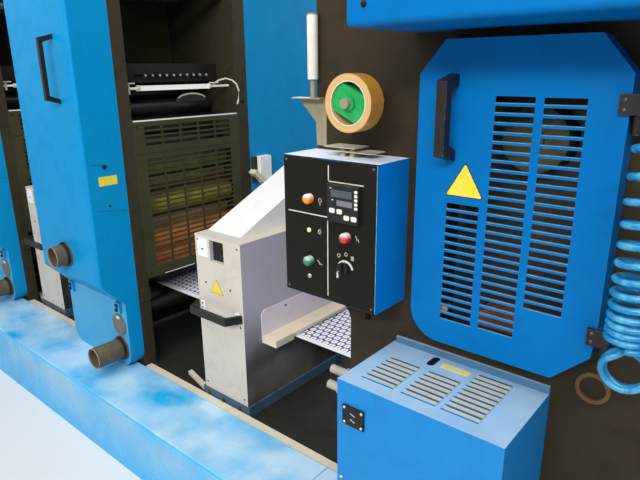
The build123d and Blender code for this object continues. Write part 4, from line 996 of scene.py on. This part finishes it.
# Dryers: labels, screws, pale plates and base nuts

def dryer_places():
    """Each dryer's left side, and the plane of the cabinets' fronts; the last stands farther on."""
    low, high = node_box("dryer_cabinets")
    return [low.x, low.x + bay_pitch, high.x - dryer_width], low.y


def dryer_details():
    """The blank triangle, its screws, the pale plate by the window, the handle's fixing plates."""
    borders = bmesh.new()
    labels = bmesh.new()
    screws = bmesh.new()
    pale = bmesh.new()
    lefts, y = dryer_places()
    triangle_inset, triangle_z = 110, 722
    plate_inset, plate_z = 41, 872
    fixing_z = 635
    for x0 in lefts:
        x = x0 + triangle_inset
        plate(borders, at(FRONT, x, y, triangle_z), triangle(73, 55, 2), 0.5)
        plate(labels, at(FRONT, x, y - 0.5, triangle_z), triangle(69, 52, 2), 0.4)
        for dx in (-62, 76):
            domed_screw(screws, at(FRONT, x + dx, y, triangle_z + 13), 5)
        for dx in (16, 232):
            for z in (300, 600, 900):
                domed_screw(screws, at(FRONT, x0 + dx, y, z), 4.5)
        plate(pale, at(FRONT, x0 + plate_inset, y, plate_z), rectangle(60, 72, 2), 1, 0.5)
        domed_screw(screws, at(FRONT, x0 + plate_inset, y - 1, plate_z - 6), 4.5)
        for dx in (22, 219):
            plate(pale, at(FRONT, x0 + dx, y, fixing_z), rectangle(20, 38, 3), 3, 0.8)
            for dz in (-9, 9):
                domed_screw(screws, at(FRONT, x0 + dx, y - 3, fixing_z + dz), 4)
    piece("dryer_triangle_borders", borders, "black_vinyl")
    piece("dryer_triangles", labels, "yellow_vinyl")
    piece("dryer_screws", screws, "dull_steel", smooth=True)
    piece("dryer_pale_plates", pale, "white_enamel_and_highlight")


def dryer_side_panels():
    """The screws of each dryer's right side and exit plate, and the nuts of its feet."""
    nuts = bmesh.new()
    base_front = node_box("dryer_bases")[0].y
    plate_thickness = 3
    plate_screw_height = 623
    for x0 in dryer_places()[0]:
        x = x0 + dryer_width
        for y in (-231, -60, 84):
            domed_screw(nuts, at(RIGHT, x + plate_thickness, y, plate_screw_height), 5)
        for dx in (24, 112, 205):
            hexagon_nut(nuts, at(FRONT, x0 + dx, base_front, bed_top + 20), 7)
        for y in (-400, -300):
            hexagon_nut(nuts, at(TOP, x + 5, y, bed_top + 40), 4)
    piece("dryer_nuts", nuts, "dull_steel", smooth=True)


# Control box: printed lines and signs, domes, lamps, the instrument's face, the knob's pointer

def panel_marks(y):
    """White lines between the fields of the panel, and a worn sign beside each control."""
    line_width = 3
    film = 0.4
    lines = bmesh.new()
    strokes = (((1586, 1274), (1586, 1236)), ((1586, 1236), (1692, 1236)),
               ((1450, 1143), (1586, 1143)), ((1583, 1133), (1583, 931)))
    for (x0, z0), (x1, z1) in strokes:
        plate(lines, at(FRONT, (x0 + x1) / 2, y, (z0 + z1) / 2),
              rectangle(abs(x1 - x0) + line_width, abs(z1 - z0) + line_width), film)
    piece("panel_lines", lines, "white_paint")
    signs = bmesh.new()
    # Bars as place, turn and outline; bows as place, radius, width, first and last angle
    bars = ((1558, 1174, 0, (3, 9, 1)), (1559, 1100, 0, (7, 3, 1)), (1552, 1018, -40, (12, 3, 1)),
            (1559, 1012, 0, (11, 3, 1)), (1674, 1104, 20, (3, 14, 1)),
            (1680, 1099, 20, (2.4, 10, 1)), (1662, 1049, 0, (9, 12, 2)))
    for x, z, turn, size in bars:
        plate(signs, at(FRONT, x, y, z, turn=turn), rectangle(*size), film)
    bows = ((1558, 1183, 3.5, 2.5, -60, 240), (1557, 1100, 4, 3, 60, 300))
    for x, z, radius, width, first, last in bows:
        arc_band(signs, at(FRONT, x, y, z), radius, width, first, last, film)
    for x, z in ((1619, 1049), (1642, 1056)):
        arc_band(signs, at(FRONT, x, y, z), 3, 2.4, 0, 360, film, steps=16)
    piece("panel_tags", signs, "worn_ink")


def control_panel_details():
    """What the panel carries: marks, the selector's dial arc, domes, lamps and corner screws."""
    low, high = node_box("control_panel")
    y = low.y
    panel_marks(y)
    dial = bmesh.new()
    arc_band(dial, at(FRONT, 1640, y, 1014), 20, 6, 12, 178, 1.2, steps=14)
    plate(dial, at(FRONT, 1616, y, 1001, turn=-4), rectangle(6, 26, 1), 1.2)
    piece("selector_dial_arc", dial, "white_paint")
    # A pale blue strip down the box's right edge, a painted highlight
    rub = bmesh.new()
    plate(rub, at(FRONT, high.x + 1.6, y + 1, (low.z + high.z) / 2),
          rectangle(2.4, high.z - low.z), 0.4)
    piece("box_edge_painted_highlight", rub, "edge_highlight_blue")
    dome_profile = [(13.3, 0), (13.3, 9), (13.1, 14.2), (10.5, 18), (6.5, 20.2), (0, 21)]
    for name, x, z in (("amber", 1524, 1184), ("green", 1523, 1016), ("red", 1644, 1101)):
        dome = bmesh.new()
        turned(dome, at(FRONT, x, y, z), dome_profile, 28)
        piece(name + "_button_dome", dome, name + "_lens", smooth=True)
    lamp_profile = [(6, 0), (6, 2.5), (4, 5), (0, 5.6)]
    for name, x, z in (("yellow", 1521, 1099), ("white", 1521, 971)):
        lamp = bmesh.new()
        turned(lamp, at(FRONT, x, y, z), lamp_profile, 18)
        piece(name + "_signal_lamp", lamp, name + "_lens", smooth=True)
    screws = bmesh.new()
    corner = 9
    for x in (low.x + corner, high.x - corner):
        for z in (low.z + corner, high.z - corner):
            domed_screw(screws, at(FRONT, x, y, z), 3.6)
    piece("panel_screws", screws, "dull_steel", smooth=True)


def instrument_face():
    """The panel instrument's two unlit panes, its four stepped keys and its column of five."""
    y = node_box("temperature_controller")[0].y
    panes = {"slate": (1635, 1211, 64, 18), "lilac": (1645, 1188, 48, 14)}
    for name, (x, z, width, height) in panes.items():
        pane = bmesh.new()
        plate(pane, at(FRONT, x, y, z), rectangle(width, height, 1.5), 0.6, 0.2)
        piece("instrument_" + name + "_pane", pane, name + "_pane")
    keys = bmesh.new()
    stepped_keys = ((1607, 1167), (1630, 1167), (1652, 1154), (1674, 1154))
    column_x, column_top, column_pitch, column_keys = 1680, 1221, 10, 5
    key_height = 1.6
    for x, z in stepped_keys:
        plate(keys, at(FRONT, x, y, z), rectangle(17, 12, 3), key_height, 0.6)
    for row in range(column_keys):
        plate(keys, at(FRONT, column_x, y, column_top - row * column_pitch),
              rectangle(9, 7, 1.5), key_height, 0.5)
    for x, z in ((1602, 1223), (1608, 1194)):
        plate(keys, at(FRONT, x, y, z), rectangle(5, 2), 0.5)
    piece("instrument_keys", keys, "white_plastic")


def knob_pointer():
    """The pale pointer on the selector knob, toward its lower left."""
    low, high = node_box("selector_knob")
    x = (low.x + high.x) / 2
    z = (low.z + high.z) / 2
    bm = bmesh.new()
    plate(bm, at(FRONT, x - 6.5, low.y, z - 6.5, turn=135), rectangle(2.6, 12), 0.4)
    piece("knob_pointer", bm, "worn_ink", body="knob")


# Guard door: the blank triangle, the hinge screws and painted highlights on the louvres' edges

def door_details():
    """What is fixed to the door's front: the blank triangle and the hinge screws."""
    y = node_box("guard_door")[0].y
    triangle_x, triangle_z = 1912, 1252
    border = bmesh.new()
    label = bmesh.new()
    plate(border, at(FRONT, triangle_x, y, triangle_z), triangle(92, 78, 2.5), 0.5)
    plate(label, at(FRONT, triangle_x, y - 0.5, triangle_z), triangle(86, 73, 2.5), 0.4)
    piece("door_triangle_border", border, "black_vinyl", body="door")
    piece("door_triangle", label, "yellow_vinyl", body="door")
    screws = bmesh.new()
    leaf_low, leaf_high = node_box("hinge_leaves")
    for z in (leaf_low.z + 9, leaf_low.z + 27, leaf_high.z - 27, leaf_high.z - 9):
        domed_screw(screws, at(FRONT, leaf_low.x + 10, leaf_low.y, z), 4)
    piece("door_screws", screws, "dull_steel", body="door", smooth=True)


def louvre_lips():
    """A thin painted highlight along the foot of each louvre opening of the door."""
    bm = bmesh.new()
    y = node_box("guard_door")[0].y
    pitch = 19.5
    # Each column's distance from the end unit's left side, its width, lowest louvre and top
    columns = ((434, 78, 923, 1215), (531, 82, 926, 1450), (630, 80, 1003, 1450))
    for left, width, bottom, top in columns:
        z = bottom
        while z <= top:
            plate(bm, at(FRONT, x_unit + left + width / 2, y, z - 1.1), rectangle(width, 1.6), 0.6)
            z += pitch
    piece("louvre_edges", bm, "edge_highlight_blue", body="door")


# Tape roll: the core's cream lining

def tape_core():
    """The cream card core inside the roll."""
    low, high = node_box("tape_roll")
    middle = (low + high) / 2
    inner, outer = 49.1, 51.5
    width = high.y - low.y
    bm = bmesh.new()
    turned(bm, at(FRONT, middle.x, high.y, middle.z),
           [(inner, -0.2), (outer, -0.2), (outer, width + 0.3), (inner, width + 0.3)], 48,
           hollow=True)
    piece("tape_core_ring", bm, "cream_paint", body="tape", smooth=True)


# Blower box: the blank label, painted shadows behind the slats, the hole's painted shade, the
# socket and the plugs

def blower_top_details(low, top):
    """On the blower's top: the blank label, a painted shadow strip behind each slat, and a dark
    floor in the hole that is painted shade.
    """
    label = bmesh.new()
    plate(label, at(TOP, 1912, -531, top), rectangle(76, 24, 4), 0.5)
    piece("blower_label", label, "pale_yellow_vinyl")
    row_pitch = 20.5
    first_row = 42
    slat_top = 3
    edges = bmesh.new()
    for column, rows in zip((86, 196, 298), (6, 6, 9)):
        for row in range(rows):
            y = low.y + first_row + row * row_pitch + 17
            plate(edges, at(TOP, low.x + column + 3.5, y, top + slat_top), rectangle(82, 6), 0.3)
    piece("slat_gap_painted_shadows", edges, "slat_shadow")
    # A dark floor deep in the hole, painted shade
    hole_depth = 12
    hole = bmesh.new()
    plate(hole, at(TOP, low.x + 139, low.y + 219, top - hole_depth), rectangle(19.6, 49.6, 9.8),
          hole_depth - 1)
    piece("blower_hole_painted_shade", hole, "navy_recess_shade")


def blower_details():
    """What shows on the blower box besides its slats, from the label to the plugs' collars."""
    low, high = node_box("blower_box")
    upstand = 18
    blower_top_details(low, high.z - upstand)
    socket_low, socket_high = node_box("blower_socket")
    screws = bmesh.new()
    for x in (socket_low.x + 6, socket_high.x - 6):
        for z in (socket_low.z + 6, socket_high.z - 6):
            domed_screw(screws, at(FRONT, x, socket_low.y, z), 4)
    for x in (low.x + 12, high.x - 12):
        for z in (low.z + 20, low.z + 250):
            domed_screw(screws, at(FRONT, x, low.y, z), 5)
    piece("blower_screws", screws, "zinc", smooth=True)
    contacts = bmesh.new()
    middle = (socket_low.x + socket_high.x) / 2
    for z in (socket_low.z + 17, socket_low.z + 33):
        plate(contacts, at(FRONT, middle, socket_low.y, z, turn=-20), rectangle(15, 3, 1), 0.8)
    piece("socket_contacts", contacts, "zinc")
    collars = bmesh.new()
    plugs_right = node_box("side_plugs")[1].x
    for y, z in ((low.y + 46, 775), (low.y + 16, 751)):
        turned(collars, at(LEFT, plugs_right, y, z), [(11.1, 0), (15, 0), (15, 5), (11.1, 7)], 20,
               hollow=True)
    piece("plug_collars", collars, "aged_plastic", smooth=True)


# End unit: screws on the plate and top cover, the rod's sleeve and a painted highlight on the
# bracket's top

def end_unit_details():
    """Cap screws round the plate, the cover's fixing screws, and a painted highlight on the edge
    bracket's top.
    """
    bm = bmesh.new()
    for x, z in ((x_unit + 30, 1740), (x_unit + 260, 1740), (x_unit + 150, 300),
                 (x_unit + 150, 560), (x_end - 30, 300), (x_end - 30, 900), (x_end - 30, 1500),
                 (x_unit + 180, 830)):
        socket_screw(bm, at(FRONT, x, y_frame, z), 8)
    low, high = node_box("end_unit_top_cover")
    margin = 40
    for x in (low.x + margin, high.x - margin):
        for z in (low.z + margin, high.z - margin):
            domed_screw(bm, at(FRONT, x, low.y, z), 7)
    for y in (-380, -150, 60):
        for z in (320, 1000, 1700):
            domed_screw(bm, at(RIGHT, x_end, y, z), 7)
    piece("end_unit_screws", bm, "dark_steel", smooth=True)
    sleeve_foot, sleeve_length, sleeve_radius = 1476, 160, 14.6
    sleeve = bmesh.new()
    turned(sleeve, at(TOP, x_unit, y_frame - 17, sleeve_foot),
           [(sleeve_radius - 0.4, 0), (sleeve_radius, 1), (sleeve_radius, sleeve_length),
            (0, sleeve_length + 4)], 24)
    piece("edge_rod_sleeve", sleeve, "white_plastic", smooth=True)
    bracket_top = 1428
    bracket_highlight = bmesh.new()
    plate(bracket_highlight, at(TOP, x_unit - 38, y_frame - 15.5, bracket_top), rectangle(58, 30, 8), 0.6, 0.3)
    piece("edge_bracket_painted_highlight", bracket_highlight, "white_enamel_and_highlight")


# Coiled air hose


def hose_route():
    """The hose's route in millimetres: a lead from its fitting, the coil, a loop and a tail."""
    radius = 36
    x, y = 2303, -708.5
    points = [(x, y, 1546), (x, y, 1500), (x - 1, y, 1446), (x + 8, y + 3, 1418),
              (x + 24, y + 9, 1407)]
    steps = 16
    height, coil_foot = 1404, 1056
    widest_pitch, narrowing, closest_pitch = 46.4, 3.2, 12.6
    first_angle = radians(20)
    step = 0
    while height > coil_foot:
        pitch = max(closest_pitch, widest_pitch - narrowing * step / steps)
        angle = first_angle - 2 * pi * step / steps
        points.append((x + radius * cos(angle), y + radius * sin(angle), height))
        height -= pitch / steps
        step += 1
    last = first_angle - 2 * pi * (step - 1) / steps
    front = radians(-90)
    while last > front:
        front += 2 * pi
    sweep = (front - 2 * pi - last) if front > last else front - last
    for part in (0.35, 0.7):
        angle = last + sweep * part
        points.append((x + radius * cos(angle), y + radius * sin(angle), height))
    # The turns under the coil hang face on; each leads off a little behind the one before
    loop_z, loop_points, turn_depth, lead_in = 1005.7, 26, 12.6, 22
    for step in range(1, loop_points + 1):
        angle = radians(95 + step * 22.5)
        depth = y - 7.5 + turn_depth * step / steps
        lead = max(0, 1 - step / 5) * lead_in
        points.append((x + radius * cos(angle), depth - lead, loop_z + radius * sin(angle)))
    tail = [(2362, -697, 1003), (2400, -698, 1024), (2438, -690, 1044), (2450, -630, 1100),
            (2441, -560, 1128), (2441, -522.5, 1128)]
    return points + tail


def air_hose():
    """The coiled hose as one smooth tube of its real gauge along its route."""
    gauge = 12
    points = hose_route()
    curve = bpy.data.curves.new("coiled_air_hose", "CURVE")
    curve.dimensions = "3D"
    line = curve.splines.new("NURBS")
    line.points.add(len(points) - 1)
    for control, place in zip(line.points, points):
        control.co = (*[value * MM for value in place], 1.0)
    line.order_u = 3
    line.use_endpoint_u = True
    curve.bevel_depth = gauge / 2 * MM
    curve.bevel_resolution = 4
    curve.resolution_u = 4
    curve.materials.append(finishes["hose_plastic"])
    hose = bpy.data.objects.new("coiled_air_hose", curve)
    bpy.context.scene.collection.objects.link(hose)
    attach(hose, "press")
    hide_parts("hose_feed", "hose_coil", "hose_loop", "hose_tail")


tower_labels()
tower_screws()
cover_seams()
duct_trims()
latch_details()
guard_trims()
fountain_keys()
splash_tabs()
side_brackets()
corner_brackets()
dryer_details()
dryer_side_panels()
control_panel_details()
instrument_face()
knob_pointer()
door_details()
louvre_lips()
tape_core()
blower_details()
end_unit_details()
air_hose()


# Floor, background, lamps and camera

def studio_floor():
    """A wide pale floor under the press."""
    half = 25
    mesh = bpy.data.meshes.new("studio_floor")
    mesh.from_pydata([(-half, -half, 0), (half, -half, 0), (half, half, 0), (-half, half, 0)],
                     [], [(0, 1, 2, 3)])
    floor = bpy.data.objects.new("studio_floor", mesh)
    bpy.context.scene.collection.objects.link(floor)
    material, tree, shader, place = new_finish("pale_floor", Roughness=0.7)
    cloud = add(tree, "ShaderNodeTexNoise", {"Vector": place, "Scale": grain(1500), "Detail": 3.0})
    tint = add(tree, "ShaderNodeMix", {0: cloud.outputs["Fac"], 6: linear("#DCDCDA"),
                                       7: linear("#E2E2E0")}, data_type="RGBA")
    tree.links.new(tint.outputs[2], shader.inputs["Base Color"])
    mesh.materials.append(material)


def studio_world():
    """Soft even light, and a near-white background for the camera, for gloss and for glass."""
    world = bpy.data.worlds.new("studio")
    bpy.context.scene.world = world
    world.use_nodes = True
    tree = world.node_tree
    tree.nodes.clear()
    rays = add(tree, "ShaderNodeLightPath")
    seen = add(tree, "ShaderNodeMath", {0: rays.outputs["Is Camera Ray"],
                                        1: rays.outputs["Is Glossy Ray"]}, operation="MAXIMUM")
    through = add(tree, "ShaderNodeMath", {0: seen.outputs[0],
                                           1: rays.outputs["Is Transmission Ray"]},
                  operation="MAXIMUM")
    ambient = add(tree, "ShaderNodeBackground", {"Color": linear("#F4F6FA"), "Strength": 0.27})
    backdrop = add(tree, "ShaderNodeBackground", {"Color": linear("#EDEFF1"), "Strength": 1.0})
    both = add(tree, "ShaderNodeMixShader", {0: through.outputs[0], 1: ambient.outputs[0],
                                             2: backdrop.outputs[0]})
    add(tree, "ShaderNodeOutputWorld", {"Surface": both.outputs[0]})


def soft_lamp(name, place, target, width, depth, watts):
    """A large soft lamp at a place, aimed at a target."""
    light = bpy.data.lights.new(name, "AREA")
    light.shape = "RECTANGLE"
    light.size = width
    light.size_y = depth
    light.energy = watts
    lamp = bpy.data.objects.new(name, light)
    bpy.context.scene.collection.objects.link(lamp)
    lamp.location = place
    lamp.rotation_euler = (Vector(target) - Vector(place)).to_track_quat("-Z", "Y").to_euler()


def photograph_camera():
    """The camera where the photograph was taken from, in front of the end unit."""
    eye = Vector((2.457, -1.6885, 1.5))
    turn_left = radians(40.231)
    look_down = radians(16.847)
    roll = radians(-0.524)
    focal_pixels = 562
    image_width = 640
    sensor = 36
    camera = bpy.data.cameras.new("photograph_camera")
    camera.sensor_width = sensor
    camera.lens = focal_pixels / image_width * sensor
    camera.clip_start = 0.02
    holder = bpy.data.objects.new("photograph_camera", camera)
    bpy.context.scene.collection.objects.link(holder)
    aim = (Matrix.Rotation(turn_left, 4, "Z") @ Matrix.Rotation(pi / 2 - look_down, 4, "X")
           @ Matrix.Rotation(roll, 4, "Z"))
    holder.matrix_world = Matrix.Translation(eye) @ aim
    bpy.context.scene.camera = holder


studio_floor()
studio_world()
soft_lamp("ceiling_lamp", (0.8, -1.8, 4.4), (0.6, -0.2, 0.6), 6.0, 2.6, 114)
soft_lamp("front_lamp", (2.8, -4.6, 3.5), (0.2, -0.3, 0.9), 4.0, 0.6, 205)
soft_lamp("rear_lamp", (0.5, 5.5, 3.5), (0.0, 0.3, 0.9), 5.0, 2.4, 150)
photograph_camera()

bpy.context.scene.view_settings.view_transform = "Standard"
